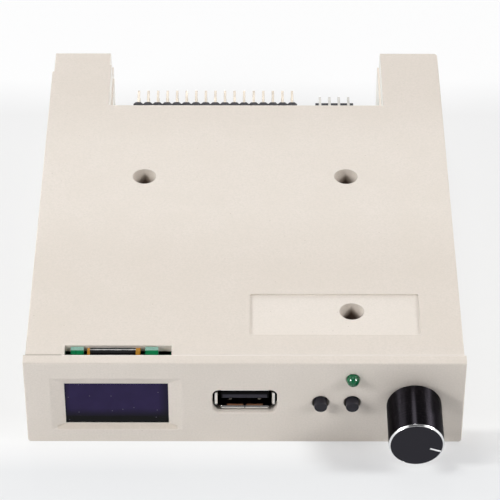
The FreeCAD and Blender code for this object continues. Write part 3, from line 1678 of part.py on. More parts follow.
def make_encoder():
    half_x = s.encoder_width / 2
    half_z = s.encoder_height / 2
    x = (ENCODER_X - half_x, ENCODER_X + half_x)
    z = (s.controls_z - half_z, s.controls_z + half_z)
    centre = encoder_centre()
    bushing_span = (BUSHING_FRONT, ENCODER_PLATE_BACK)
    bore_span = (BUSHING_FRONT - PAST, ENCODER_PLATE_BACK + PAST)
    front_plate = block("encoder plate", x, (ENCODER_PLATE_FRONT, ENCODER_PLATE_BACK), z)
    bushing = rod("encoder bushing", "y", centre, bushing_span, BUSHING_RADIUS)
    bore = rod("encoder bore", "y", centre, bore_span, s.shaft_radius + s.running_gap)
    blank = fuse("encoder front", [front_plate, bushing])
    part("encoder_bushing", cut("encoder front bored", blank, [bore]))

    base = block("encoder base block", x, (ENCODER_PLATE_BACK, ENCODER_BACK), z)
    cavity_span = (ENCODER_PLATE_BACK - PAST, ENCODER_CAVITY_BACK)
    cavity = rod("encoder cavity", "y", centre, cavity_span, s.rotor_radius + s.running_gap)
    part("encoder_base", cut("encoder base", base, [cavity]))

    dome_span = (ENCODER_DOME_FRONT, ENCODER_CAVITY_BACK)
    dome = taper("encoder snap dome", "y", centre, dome_span, s.shaft_tail_radius, s.encoder_dome_radius)
    part("encoder_dome", dome)

    rotor_span = (ROTOR_FRONT, ROTOR_FRONT + s.rotor_thickness)
    rotor = rod("encoder rotor disc", "y", centre, rotor_span, s.rotor_radius)
    past_rotor = (rotor_span[0] - PAST, rotor_span[1] + PAST)
    hub = flatted_rod("encoder rotor bore", past_rotor, s.shaft_tail_radius + s.running_gap,
                      s.shaft_tail_flat + s.running_gap, past_rotor)
    part("encoder_rotor", cut("encoder rotor", rotor, [hub]))

    make_shaft()
    make_nut_and_washer()
    make_encoder_board(z)


def make_shaft():
    collar_span = (ENCODER_PLATE_BACK + s.running_gap, COLLAR_BACK)
    bar_span = (-SHAFT_TIP, collar_span[0])
    bar_flat_span = (bar_span[0] - PAST, bar_span[0] + s.shaft_flat_length)
    tail_span = (collar_span[0], TAIL_BACK)
    tail_flat_span = (COLLAR_BACK, TAIL_BACK + PAST)
    collar_radius = s.shaft_radius + s.shaft_collar_step
    part("encoder_shaft", fuse("shaft", [
        flatted_rod("shaft bar", bar_span, s.shaft_radius, s.shaft_flat, bar_flat_span),
        rod("shaft collar", "y", encoder_centre(), collar_span, collar_radius),
        flatted_rod("shaft tail", tail_span, s.shaft_tail_radius, s.shaft_tail_flat, tail_flat_span),
    ]))


def make_nut_and_washer():
    centre = encoder_centre()
    nut_back = -s.washer_thickness
    nut_front = nut_back - s.nut_thickness
    corner_radius = s.nut_across_flats / 2 / math.cos(math.pi / HEXAGON_CORNER_COUNT)
    bore = rod("nut and washer bore", "y", centre, (nut_front - PAST, PAST), BUSHING_RADIUS + s.running_gap)
    washer = rod("washer disc", "y", centre, (nut_back, 0), s.washer_radius)
    nut = prism("nut hexagon", "y", centre, (nut_front, nut_back), HEXAGON_CORNER_COUNT, corner_radius)
    part("encoder_washer", cut("washer", washer, [bore]))
    part("encoder_nut", cut("nut", nut, [bore]))


def make_encoder_board(encoder_z):
    """The upright board that the encoder is soldered to; encoder_z is the height span of its housing."""
    x = (ENCODER_X - ENCODER_BOARD_HALF, ENCODER_X + ENCODER_BOARD_HALF)
    y = (ENCODER_BOARD_FRONT, ENCODER_BOARD_BACK)
    z = (encoder_z[0] - s.encoder_board_below, encoder_z[1] + s.encoder_board_above)
    through = (y[0] - PAST, y[1] + PAST)
    half = s.encoder_terminal / 2
    low_z = encoder_z[0] + s.encoder_terminal
    high_z = encoder_z[1] - s.encoder_terminal
    low_xs = row_places(ENCODER_X, s.encoder_terminal_pitch, ENCODER_LOW_TERMINALS)
    high_xs = row_places(ENCODER_X, 2 * s.encoder_terminal_pitch, ENCODER_HIGH_TERMINALS)
    terminal_places = [(place_x, low_z) for place_x in low_xs]
    terminal_places += [(place_x, high_z) for place_x in high_xs]

    holes = [
        rod("encoder link hole", "y", (pin_x, ENCODER_LINK_Z), through, s.pin_hole_radius)
        for pin_x in encoder_link_xs()
    ]
    holes += [
        rod("encoder terminal hole", "y", centre, through, s.encoder_terminal_hole)
        for centre in terminal_places
    ]
    part("encoder_board", cut("encoder board outline", block("encoder board blank", x, y, z), holes))

    terminal_y = (ENCODER_BACK, ENCODER_BOARD_BACK + s.encoder_terminal)
    terminals = [
        block("encoder terminal", (pin_x - half, pin_x + half), terminal_y, (pin_z - half, pin_z + half))
        for pin_x, pin_z in terminal_places
    ]
    part("encoder_terminals", group("encoder terminals", terminals))

    link_y = (ENCODER_BOARD_FRONT - s.pin_stub, ENCODER_LINK_Y)
    link_pins = [
        bent_pin("encoder link pin", pin_x, link_y, ENCODER_LINK_Z, PIN_END, s.pin)
        for pin_x in encoder_link_xs()
    ]
    part("encoder_link_pins", group("encoder link pins", link_pins))


# Knob


def make_knob():
    centre = encoder_centre()
    back = -s.knob_back
    front = -s.knob_front
    ring_back = front + s.ring_depth
    face_radius = s.knob_radius - s.ring_width
    hollow_end = BUSHING_FRONT - s.press_travel - s.knob_hollow_gap
    body = turned("knob turned", centre, [
        (0, front),
        (face_radius, front),
        (face_radius, ring_back),
        (s.knob_radius, ring_back),
        (s.knob_radius, back - s.knob_back_edge),
        (s.knob_radius - s.knob_back_edge, back),
        (KNOB_HOLLOW_RADIUS, back),
        (KNOB_HOLLOW_RADIUS, hollow_end),
        (0, hollow_end),
    ])
    bore_span = (-SHAFT_TIP - s.knob_bore_end_gap, hollow_end + PAST)
    flat_span = (bore_span[0] - PAST, s.shaft_flat_length - SHAFT_TIP)
    bore_radius = s.shaft_radius + s.knob_bore_gap
    bore = flatted_rod("knob bore", bore_span, bore_radius, s.shaft_flat + s.knob_bore_gap, flat_span)
    groove = pointer_bar("knob pointer groove", (front - PAST, front + s.pointer_depth))
    part("knob_body", cut("knob", body, [bore, groove]))
    ring_inner = face_radius + s.ring_gap
    part("knob_ring", turned("ring turned", centre, [
        (ring_inner, front),
        (s.knob_radius - s.ring_chamfer, front),
        (s.knob_radius, ring_back),
        (ring_inner, ring_back),
    ]))
    part("knob_pointer", pointer_bar("pointer", (front, front + s.pointer_depth)))


def pointer_bar(label, span):
    """The bar from near the middle of the knob's face to its rim, at the angle that it rests at."""
    bar = doc.addObject("Part::Box", "Pointer")
    bar.Label = label
    bind(bar, "Length", s.knob_radius - s.ring_width - s.pointer_rim_gap - s.pointer_inner)
    bind(bar, "Width", size(span[1]) - span[0])
    bind(bar, "Height", s.pointer_width)
    angle = math.radians(s.pointer_angle.value)
    ahead = (math.cos(angle), -math.sin(angle))
    across = (math.sin(angle), math.cos(angle))
    half = s.pointer_width / 2
    x = ENCODER_X + s.pointer_inner * ahead[0] - half * across[0]
    z = s.controls_z + s.pointer_inner * ahead[1] - half * across[1]
    return place(bar, x, span[0], z, Rotation(Vector(0, 1, 0), s.pointer_angle.value))


# Build, check and write

make_front_bezel()
make_top_cover()
make_bottom_tray()
make_case_screws()
make_main_board()
make_drive_header()
make_power_header()
make_jumper_header()
make_program_header()
make_processor()
make_crystal()
make_capacitors()
make_regulator()
make_small_parts()
make_display()
make_usb_socket()
make_buttons()
make_status_light()
make_encoder()
make_knob()
doc.recompute()

for thing in doc.Objects:
    if {"Invalid", "Error"} & set(thing.State):
        raise RuntimeError("%s could not be made: %s" % (thing.Label, thing.State))
for thing in parts:
    if thing.Shape.isNull() or not thing.Shape.isValid() or not thing.Shape.Solids:
        raise RuntimeError("%s has no valid shape" % thing.Label)

os.makedirs("parts", exist_ok=True)
for thing in parts:
    thing.Shape.exportStep("parts/%s.step" % thing.Label)
print("%d sub-parts, %d objects" % (len(parts), len(doc.Objects)))
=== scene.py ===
"""Looks of the drive emulator: a finish for every piece, the light, the floor and the camera."""

import math

import bpy
from mathutils import Matrix, Vector

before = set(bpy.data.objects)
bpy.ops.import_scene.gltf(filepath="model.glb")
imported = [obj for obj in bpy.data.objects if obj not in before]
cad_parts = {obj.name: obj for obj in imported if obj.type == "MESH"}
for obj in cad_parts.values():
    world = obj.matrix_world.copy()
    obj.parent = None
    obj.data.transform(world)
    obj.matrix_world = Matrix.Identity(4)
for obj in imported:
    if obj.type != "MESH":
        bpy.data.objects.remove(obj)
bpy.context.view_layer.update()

MM = 0.001

# Camera
FRAME_PIXELS = 500
FOCAL_PIXELS = 2623
SENSOR_WIDTH = 36
CAMERA_PLACE = Vector((0.0009, -0.4400, 0.4321))
CAMERA_YAW = math.radians(0.034)
CAMERA_PITCH = math.radians(40.298)
CAMERA_ROLL = math.radians(0.086)

# Colours as they look on a screen, 0 to 255
CASE_COLOR = (231, 223, 214)
FLOOR_COLOR = (238, 239, 241)

# Floor: half its width and its height, in metres
FLOOR_HALF, FLOOR_HEIGHT = 3.0, -0.00005
# What the floor is lifted to along Y: 0 is the first place of the span in mm and 1 its second; the
# paler tones near the part's front edge are a painted pool of light
FLOOR_TONE_SPAN = (-20, 180)
FLOOR_TONES = (
    (0.0, (239, 240, 241)),
    (0.05, (237, 238, 239)),
    (0.08, (247, 247, 247)),
    (0.1, (251, 251, 250)),
    (0.15, (244, 244, 243)),
    (0.73, (243, 243, 243)),
    (0.81, (255, 255, 255)),
)
# How much of that lift the floor gets, in the open and in the shadow before the part's right half
OPEN_LIFT, SHADOW_LIFT = 0.87, 0.38
# Spans of that shadow in mm, with their blur: in Y, where it starts in X, and beside the knob
SHADOW_Y = (-7.5, 4.0, 1.0)
SHADOW_START = (12, 20)
KNOB_SHADOW_Y = (-10.2, 4.0, 1.2)
KNOB_SHADOW_X = ((18.0, 35.5, 3.0), (44.5, 50.0, 2.0))

# How bright the room is, the backdrop that lights the rear, and the room in reflections
ROOM_STRENGTH = 0.04
BACKDROP_STRENGTH = 2.0
ROOM_GLOSS = 0.05
# Spans of direction that the backdrop fills, and its blur
BACKDROP_Y, BACKDROP_Z, BACKDROP_BLUR = (0.1, 1.1), (-0.1, 0.5), 0.1

# Pale things around the part that only reflections see: spans of direction in X and Y, and strength
PANELS = (
    ((-1.1, -0.43), (-1.1, -0.17), 1.1),
    ((0.43, 1.1), (-1.1, -0.17), 1.1),
    ((-0.4, 0.4), (-1.1, -0.3), 0.1),
    ((-1.1, 1.1), (-0.2, 1.1), 0.3),
    ((-0.17, 0.01), (-0.2, 1.1), 4.6),
    ((0.6, 0.69), (-0.2, 1.1), 6.5),
    ((-0.68, -0.56), (-0.2, 1.1), 2.5),
)
PANEL_BLUR_X, PANEL_BLUR_Y = 0.03, 0.1

# Where the lamps aim, in metres
LAMP_AIM = (0.0, 0.03, 0.0)

# Places and sizes on the part, in millimetres
CASE_TOP = 25.0
TOP_MIDDLE_Y, TOP_MIDDLE_BLUR = (45, 92), 10
NOTCH_X, NOTCH_Y = (-40, 40), (97, 127)
GLASS_LEFT, GLASS_RIGHT, GLASS_LOW = -41.7, -17.7, 5.0
SLOPE_X, SLOPE_Y, SLOPE_Z = (-43.7, -15.7), (0.1, 1.1), (3.98, 5.0)
LABEL_X, LABEL_Y = (1.15, 40.75), (9.9, 24.1)
LABEL_WALL_X = (40.25, 40.95)
SEAM_Y, SEAM_BLUR = (2.55, 3.15), 0.12
WELL_X, WELL_ROWS, WELL_RADIUS = 25.0, (18.4, 68.3), 3.0
# Depths between which a well darkens with painted shade, and how much deeper that is per millimetre
# off its middle
WELL_SHADE, WELL_SLANT = (1.1, 3.5), 1.3
KNOB_X, KNOB_Z = 39.1, 12.8
# A knob's polygon belongs to its end faces where its normal has at least this much along Y
KNOB_FACE_LEVEL = 0.65
FLEX_COAT_X = (-35.58, -25.05)
FLEX_CREST_Y = (4.87, 5.07)
SOCKET_BACK = 1.3
SOCKET_SEAM_X, SOCKET_SEAM_Z = (-0.08, 0.12), (8.29, 10.59)
# Where the shell gets painted shade in its corners, a painted brown reflection and painted spring
# highlights
SOCKET_CORNER_X, SOCKET_CORNER_Z = (5.4, 5.6), (8.29, 11.24)
SOCKET_BROWN_X, SOCKET_BROWN_Y = (0.3, 4.2), (1.3, 1.8)
SPRING_PEAK_X, SPRING_PEAK_Y = (3.0, 3.7), (2.95, 3.55)
TONGUE_SHADE_Z, TONGUE_END_X = (13.84, 14.08), (5.05, 5.25)
BOARD_SHADE_X, BOARD_SHADE_Y = (-9, 9), (-1, 12)
TRACK_PITCH, TRACK_WIDTH = 0.8, 0.44


def linear(screen_color):
    """The same colour in the scene's linear values."""
    parts = [value / 255 for value in screen_color]
    return tuple(
        part / 12.92 if part <= 0.04045 else ((part + 0.055) / 1.055) ** 2.4
        for part in parts
    )


class Shading:
    """Helpers for one shader node tree."""

    def __init__(self, tree):
        self.tree = tree
        self.nodes = tree.nodes

    def add(self, kind, **settings):
        node = self.nodes.new(kind)
        for key, value in settings.items():
            setattr(node, key, value)
        return node

    def link(self, source, target):
        self.tree.links.new(source, target)

    def spread(self, value, low, high, new_low=0.0, new_high=1.0):
        """The value mapped from low..high to new_low..new_high and held inside them."""
        node = self.add("ShaderNodeMapRange")
        limits = {"From Min": low, "From Max": high, "To Min": new_low, "To Max": new_high}
        for socket, number in limits.items():
            node.inputs[socket].default_value = number
        self.link(value, node.inputs["Value"])
        return node.outputs["Result"]

    def combine(self, operation, *values):
        """A sum, root or other operation of one value or two."""
        node = self.add("ShaderNodeMath", operation=operation)
        for socket, value in zip(node.inputs, values):
            if isinstance(value, (int, float)):
                socket.default_value = value
            else:
                self.link(value, socket)
        return node.outputs["Value"]

    def product(self, first, *others):
        """Several values multiplied."""
        for other in others:
            first = self.combine("MULTIPLY", first, other)
        return first

    def opposite(self, value):
        """1 where a value is 0, and 0 where it is 1."""
        return self.combine("SUBTRACT", 1, value)

    def inside(self, value, low, high, blur):
        """1 where a value lies between two limits, with blurred ends."""
        rise = self.spread(value, low - blur, low + blur)
        fall = self.spread(value, high + blur, high - blur)
        return self.product(rise, fall)


class Finish(Shading):
    """A material on one Principled shader, with helpers for nodes that give it grain, dust and
    painted edge highlights.
    """

    def __init__(self, name, color, roughness, metallic=0.0, **sockets):
        self.material = bpy.data.materials.new(name)
        self.material.use_nodes = True
        super().__init__(self.material.node_tree)
        self.shader = self.nodes["Principled BSDF"]
        self.place = self.add("ShaderNodeTexCoord").outputs["Object"]
        self.set("Base Color", (*linear(color), 1))
        self.set("Roughness", roughness)
        self.set("Metallic", metallic)
        for socket, value in sockets.items():
            self.set(socket.replace("_", " "), value)

    def set(self, socket, value):
        self.shader.inputs[socket].default_value = value

    def stretched(self, x=1, y=1, z=1):
        """Object coordinates scaled along each axis, for grain that runs one way."""
        mapping = self.add("ShaderNodeMapping")
        mapping.inputs["Scale"].default_value = (x, y, z)
        self.link(self.place, mapping.inputs["Vector"])
        return mapping.outputs["Vector"]

    def noise(self, grain, detail=2, roughness=0.5, place=None):
        """Noise from 0 to 1 whose spots are about grain millimetres wide."""
        texture = self.add("ShaderNodeTexNoise")
        texture.inputs["Scale"].default_value = 1 / (grain * MM)
        texture.inputs["Detail"].default_value = detail
        texture.inputs["Roughness"].default_value = roughness
        self.link(place or self.place, texture.inputs["Vector"])
        return texture.outputs["Fac"]

    def cells(self, size, place=None, dimensions="3D"):
        """Outputs of a random cell pattern whose cells are about size millimetres wide."""
        texture = self.add("ShaderNodeTexVoronoi", voronoi_dimensions=dimensions)
        texture.inputs["Scale"].default_value = 1 / (size * MM)
        self.link(place or self.place, texture.inputs["Vector"])
        return texture.outputs

    def specks(self, size, radius, share, place=None, dimensions="3D"):
        """1 on dots of a radius in millimetres, one in a share of the random cells of a size."""
        cells = self.cells(size, place, dimensions)
        dots = self.spread(cells["Distance"], radius / size, 0.4 * radius / size)
        channels = self.add("ShaderNodeSeparateColor")
        self.link(cells["Color"], channels.inputs["Color"])
        return self.product(dots, self.combine("LESS_THAN", channels.outputs["Red"], share))

    def axis(self, name):
        """One of the object coordinates, in metres."""
        node = self.add("ShaderNodeSeparateXYZ")
        self.link(self.place, node.inputs["Vector"])
        return node.outputs[name]

    def away(self, name):
        """Distance in metres from the middle plane across an axis."""
        return self.combine("ABSOLUTE", self.axis(name))

    def rise(self, name, low, high):
        """0 to 1 along an axis, between two places in millimetres."""
        return self.spread(self.axis(name), low * MM, high * MM)

    def between(self, name, low, high, blur=0.1):
        """1 where a coordinate lies between two places in millimetres, with blurred ends."""
        return self.inside(self.axis(name), low * MM, high * MM, blur * MM)

    def facing(self, name):
        """1 on faces that look along an axis and 0 on faces beside it."""
        geometry = self.add("ShaderNodeNewGeometry")
        node = self.add("ShaderNodeSeparateXYZ")
        self.link(geometry.outputs["Normal"], node.inputs["Vector"])
        return self.spread(self.combine("ABSOLUTE", node.outputs[name]), 0.5, 0.8)

    def from_axis(self, axes, place):
        """Distance in metres from a line: the two axes across it, and its place in millimetres."""
        squares = [
            self.combine("POWER", self.combine("SUBTRACT", self.axis(axis), value * MM), 2)
            for axis, value in zip(axes, place)
        ]
        return self.combine("SQRT", self.combine("ADD", *squares))

    def as_place(self, *values):
        """One value or two turned into coordinates, for a texture that varies along them."""
        node = self.add("ShaderNodeCombineXYZ")
        for value, socket in zip(values, node.inputs):
            self.link(value, socket)
        return node.outputs["Vector"]

    def color_of(self, value, *stops):
        """A colour band: each stop is a position and a screen colour."""
        ramp = self.add("ShaderNodeValToRGB")
        elements = ramp.color_ramp.elements
        for element, (position, color) in zip(elements, (stops[0], stops[-1])):
            element.position = position
            element.color = (*linear(color), 1)
        for position, color in stops[1:-1]:
            elements.new(position).color = (*linear(color), 1)
        self.link(value, ramp.inputs["Fac"])
        return ramp.outputs["Color"]

    def mixed(self, factor, first, second, blend_type="MIX"):
        node = self.add("ShaderNodeMix", data_type="RGBA", blend_type=blend_type)
        for number, value in ((0, factor), (6, first), (7, second)):
            socket = node.inputs[number]
            if isinstance(value, tuple):
                socket.default_value = (*linear(value), 1)
            else:
                self.link(value, socket)
        return node.outputs[2]

    def paint(self, color):
        self.link(color, self.shader.inputs["Base Color"])

    def polish(self, roughness):
        self.link(roughness, self.shader.inputs["Roughness"])

    def bump(self, height, depth, normal=None):
        """Relief of depth millimetres where the height goes from 0 to 1."""
        node = self.add("ShaderNodeBump")
        node.inputs["Distance"].default_value = depth * MM
        node.inputs["Strength"].default_value = 1.0
        self.link(height, node.inputs["Height"])
        if normal:
            self.link(normal, node.inputs["Normal"])
        self.link(node.outputs["Normal"], self.shader.inputs["Normal"])

    def soft_edges(self, radius):
        """Shading normals rounded over radius millimetres at sharp edges."""
        node = self.add("ShaderNodeBevel", samples=6)
        node.inputs["Radius"].default_value = radius * MM
        return node.outputs["Normal"]

    def edge_highlight(self, rounded):
        """1 on sharp edges and 0 on flat faces, from the rounded normals, for a painted edge
        highlight.
        """
        geometry = self.add("ShaderNodeNewGeometry")
        product = self.add("ShaderNodeVectorMath", operation="DOT_PRODUCT")
        self.link(rounded, product.inputs[0])
        self.link(geometry.outputs["Normal"], product.inputs[1])
        return self.spread(product.outputs["Value"], 0.98, 0.75)


def shade_top_ends(finish, color):
    """Painted shade: the top is a little darker near its front and its rear."""
    top = finish.rise("Z", CASE_TOP - 0.25, CASE_TOP - 0.15)
    middle = finish.between("Y", *TOP_MIDDLE_Y, TOP_MIDDLE_BLUR)
    ends = finish.product(top, finish.opposite(middle))
    return finish.mixed(ends, color, (248, 247, 246), "MULTIPLY")


def light_notch_walls(finish, color):
    """Painted light on the towers' walls beside the notch, paler on the left than on the right."""
    inside = finish.product(finish.between("X", *NOTCH_X), finish.between("Y", *NOTCH_Y))
    lit_walls = finish.product(finish.facing("X"), inside, 0.8)
    tone = finish.mixed(finish.rise("X", -1, 1), (252, 249, 245), (232, 230, 226))
    return finish.mixed(lit_walls, color, tone)


def shade_slope(finish, color):
    """Painted shade: the sloped edge under the display is a little darker."""
    spans = (("X", SLOPE_X), ("Z", SLOPE_Z), ("Y", SLOPE_Y))
    slope = finish.product(*(finish.between(axis, *span) for axis, span in spans))
    return finish.mixed(slope, color, (243, 240, 236), "MULTIPLY")


def label_floor_and_shade(finish, color):
    """The label recess has a paler floor, and painted shade on its right wall."""
    floor = finish.product(finish.between("X", *LABEL_X), finish.between("Y", *LABEL_Y), 0.1)
    color = finish.mixed(floor, color, (246, 239, 232))
    shaded_wall = finish.product(finish.facing("X"), finish.between("X", *LABEL_WALL_X), 0.6)
    return finish.mixed(shaded_wall, color, (150, 142, 134))


def shade_and_light_seam(finish, color):
    """The joint behind the bezel: painted shade left of the display, and painted light right of it
    that lifts the groove's shade.
    """
    right = finish.rise("X", GLASS_LEFT - 0.5, GLASS_LEFT)
    tone = finish.mixed(right, (204, 195, 185), (239, 231, 223))
    return finish.mixed(finish.between("Y", *SEAM_Y, SEAM_BLUR), color, tone)


def shade_wells(finish, color):
    """Painted shade in the screw wells, darker towards the bottom, first in their middle."""
    rows = [finish.between("Y", row - WELL_RADIUS, row + WELL_RADIUS) for row in WELL_ROWS]
    aside = finish.combine("ABSOLUTE", finish.combine("SUBTRACT", finish.away("X"), WELL_X * MM))
    column = finish.combine("LESS_THAN", aside, WELL_RADIUS * MM)
    upper_half = finish.combine("GREATER_THAN", finish.axis("Z"), CASE_TOP / 2 * MM)
    depth = finish.combine("SUBTRACT", CASE_TOP * MM, finish.axis("Z"))
    wedge = finish.combine("SUBTRACT", depth, finish.product(aside, WELL_SLANT))
    shade = finish.spread(wedge, *(value * MM for value in WELL_SHADE))
    shaded_wells = finish.product(finish.combine("ADD", *rows), shade, column, upper_half)
    return finish.mixed(shaded_wells, color, (112, 97, 88))


def case_plastic():
    """Warm white moulding with a fine spark-eroded grain, dust, and a painted highlight that makes
    its edges a little paler.
    """
    finish = Finish("case_plastic", CASE_COLOR, 0.5, Specular_IOR_Level=0.4)
    tone = finish.spread(finish.noise(9, detail=3), 0.3, 0.7)
    speck = finish.spread(finish.noise(0.45, detail=1), 0.35, 0.75)
    base = finish.color_of(tone, (0, (229, 220, 210)), (1, (232, 223, 214)))
    grained = finish.mixed(speck, base, (225, 217, 207))
    dusted = finish.mixed(finish.specks(1.2, 0.16, 0.03), grained, (196, 184, 172))
    rounded = finish.soft_edges(0.25)
    # Painted highlight: sharp edges are mixed towards a paler tone
    color = finish.mixed(finish.edge_highlight(rounded), dusted, (238, 231, 223))
    # Painted shade and light in places on the case
    for paint_shading in (shade_top_ends, light_notch_walls, shade_slope, label_floor_and_shade, shade_and_light_seam, shade_wells):
        color = paint_shading(finish, color)
    finish.paint(color)
    finish.polish(finish.spread(finish.noise(0.5), 0.3, 0.7, 0.46, 0.6))
    finish.bump(finish.noise(0.32, detail=2), 0.02, normal=rounded)
    return finish.material


def black_plastic(name, color, roughness, gloss=0.5):
    """Matt black moulding."""
    finish = Finish(name, color, roughness, Specular_IOR_Level=gloss)
    tone = finish.noise(1.2, detail=3)
    lighter = tuple(value + 10 for value in color)
    finish.paint(finish.color_of(tone, (0.3, color), (0.75, lighter)))
    finish.polish(finish.spread(finish.noise(0.2), 0.3, 0.7, roughness - 0.07, roughness + 0.1))
    finish.bump(finish.noise(0.12), 0.008, normal=finish.soft_edges(0.08))
    return finish.material


def plated_metal(name, color, roughness, metallic=1.0):
    """Metal with fine drawing lines and uneven gloss; dull plating is less metallic."""
    finish = Finish(name, color, roughness, metallic=metallic)
    lines = finish.noise(0.3, detail=4, roughness=0.6, place=finish.stretched(1, 0.2, 1))
    darker = tuple(int(value * 0.9) for value in color)
    finish.paint(finish.color_of(finish.noise(2.5), (0.3, darker), (0.7, color)))
    finish.polish(finish.spread(lines, 0.3, 0.7, roughness * 0.75, roughness * 1.35))
    finish.bump(lines, 0.003, normal=finish.soft_edges(0.05))
    return finish.material


def socket_metal():
    """Mirror plating of the socket's shell: a seam, painted shade inside it and in its lower
    corners, a painted brown reflection just behind the lip, and painted highlights on the spring
    peaks.
    """
    finish = Finish("socket_metal", (236, 234, 230), 0.14, metallic=1.0)
    lines = finish.noise(0.25, detail=3, place=finish.stretched(1, 0.1, 1))
    color = finish.color_of(finish.noise(1.5), (0.3, (222, 220, 216)), (0.7, (238, 236, 232)))
    across = finish.away("X")
    seam = finish.product(
        finish.between("X", *SOCKET_SEAM_X, 0.05),
        finish.between("Z", *SOCKET_SEAM_Z),
    )
    color = finish.mixed(seam, color, (60, 58, 54))
    # Painted shade: the shell is dark behind its front lip, where little light gets in
    color = finish.mixed(finish.rise("Y", SOCKET_BACK - 0.06, SOCKET_BACK), color, (60, 52, 48))
    # Painted shade in the shell's lower corners
    shaded_corner = finish.product(
        finish.spread(across, *(value * MM for value in SOCKET_CORNER_X)),
        finish.between("Z", *SOCKET_CORNER_Z, 0.05),
    )
    color = finish.mixed(shaded_corner, color, (34, 30, 28))
    # Painted reflection: brown just behind the lip, where the lower wall mirrors the gold contacts
    brown_reflection = finish.product(
        finish.between("Y", *SOCKET_BROWN_Y),
        finish.inside(across, *(value * MM for value in SOCKET_BROWN_X), 0.2 * MM),
    )
    color = finish.mixed(finish.product(brown_reflection, finish.opposite(shaded_corner)), color, (150, 104, 76))
    # Painted highlights on the peaks of the springs, also made less metallic below
    spring_highlight = finish.product(
        finish.between("Y", *SPRING_PEAK_Y),
        finish.inside(across, *(value * MM for value in SPRING_PEAK_X), 0.1 * MM),
    )
    finish.paint(finish.mixed(spring_highlight, color, (250, 244, 228)))
    dull = finish.combine("MAXIMUM", spring_highlight, brown_reflection)
    finish.link(finish.spread(dull, 0, 1, 1, 0.15), finish.shader.inputs["Metallic"])
    finish.polish(finish.spread(lines, 0.3, 0.7, 0.1, 0.2))
    finish.bump(lines, 0.002, normal=finish.soft_edges(0.06))
    return finish.material


def socket_plastic():
    """Dark tongue of the socket, with painted shade on the upper part of its front and black at its
    ends.
    """
    finish = Finish("socket_plastic", (30, 29, 38), 0.35, Specular_IOR_Level=0.2)
    tone = finish.color_of(finish.noise(0.8, detail=3), (0.3, (32, 30, 40)), (0.7, (42, 40, 52)))
    ends = finish.spread(finish.away("X"), *(value * MM for value in TONGUE_END_X))
    # Painted shade on the upper part of the tongue, where the opening's upper edge shades it
    dark = finish.combine("MAXIMUM", finish.rise("Z", *TONGUE_SHADE_Z), ends)
    finish.paint(finish.mixed(dark, tone, (4, 4, 5)))
    finish.link(finish.spread(dark, 0, 1, 0.25, 0.04), finish.shader.inputs["Specular IOR Level"])
    finish.polish(finish.spread(finish.noise(0.2), 0.3, 0.7, 0.32, 0.45))
    finish.bump(finish.noise(0.12), 0.006, normal=finish.soft_edges(0.1))
    return finish.material


def copper_tracks(finish, axes):
    """1 on tracks that run along one axis or the other, and on poured areas."""
    waves = [finish.combine("PINGPONG", finish.axis(axis), TRACK_PITCH / 2 * MM) for axis in axes]
    tracks = [finish.combine("LESS_THAN", wave, TRACK_WIDTH / 2 * MM) for wave in waves]
    poured = finish.combine("GREATER_THAN", finish.noise(7, detail=0), 0.52)
    turned = finish.combine("GREATER_THAN", finish.noise(5, detail=0), 0.5)
    first = finish.product(tracks[0], turned)
    second = finish.product(tracks[1], finish.opposite(turned))
    return finish.combine("MAXIMUM", finish.combine("ADD", first, second), poured)


def board_green(name, across):
    """Green mask over copper tracks, with pale sawn edges and painted shade under the socket;
    across is the axis through the board.
    """
    finish = Finish(name, (10, 122, 78), 0.28)
    copper = copper_tracks(finish, {"Y": "XZ", "Z": "XY"}[across])
    tone = finish.color_of(finish.noise(2, detail=3), (0.3, (3, 118, 66)), (0.7, (6, 134, 78)))
    masked = finish.mixed(copper, tone, (9, 150, 92))
    laminate = finish.color_of(finish.noise(0.3), (0.3, (112, 156, 140)), (0.7, (130, 172, 157)))
    face = finish.facing(across)
    color = finish.mixed(face, laminate, masked)
    # Painted shade: the board is nearly black under the socket
    shade_under_socket = finish.product(
        finish.between("X", *BOARD_SHADE_X),
        finish.between("Y", *BOARD_SHADE_Y),
    )
    finish.paint(finish.mixed(shade_under_socket, color, (4, 8, 7)))
    finish.polish(finish.spread(face, 0, 1, 0.55, 0.28))
    relief = finish.combine("ADD", copper, finish.product(finish.noise(0.2), 0.3))
    finish.bump(relief, 0.02, normal=finish.soft_edges(0.06))
    return finish.material


def display_face():
    """Dark display glass: a violet panel that fades into a black border at its sides and into
    painted shade and reflection towards the bottom, and a little dust.
    """
    finish = Finish("display_face", (41, 31, 70), 0.1, Specular_IOR_Level=0.12)
    tone = finish.color_of(finish.noise(4, detail=2), (0.3, (39, 29, 67)), (0.7, (43, 33, 73)))
    # Painted shade and reflection: the glass darkens towards the bottom
    low = finish.rise("Z", GLASS_LOW + 1.7, GLASS_LOW + 4.5)
    sides = finish.between("X", GLASS_LEFT + 0.6, GLASS_RIGHT - 1.6, 0.7)
    panel = finish.product(low, finish.spread(sides, 0, 1, 0.55, 1))
    bordered_and_shaded = finish.mixed(panel, (6, 6, 8), tone)
    flat_place = finish.as_place(finish.axis("X"), finish.axis("Z"))
    dust = finish.specks(2.6, 0.17, 0.3, place=flat_place, dimensions="2D")
    finish.paint(finish.mixed(finish.product(dust, 0.6), bordered_and_shaded, (108, 104, 122)))
    smears = finish.spread(finish.noise(3, detail=3), 0.3, 0.7, 0.06, 0.16)
    finish.polish(finish.combine("ADD", smears, finish.product(dust, 0.5)))
    finish.bump(dust, 0.01)
    return finish.material


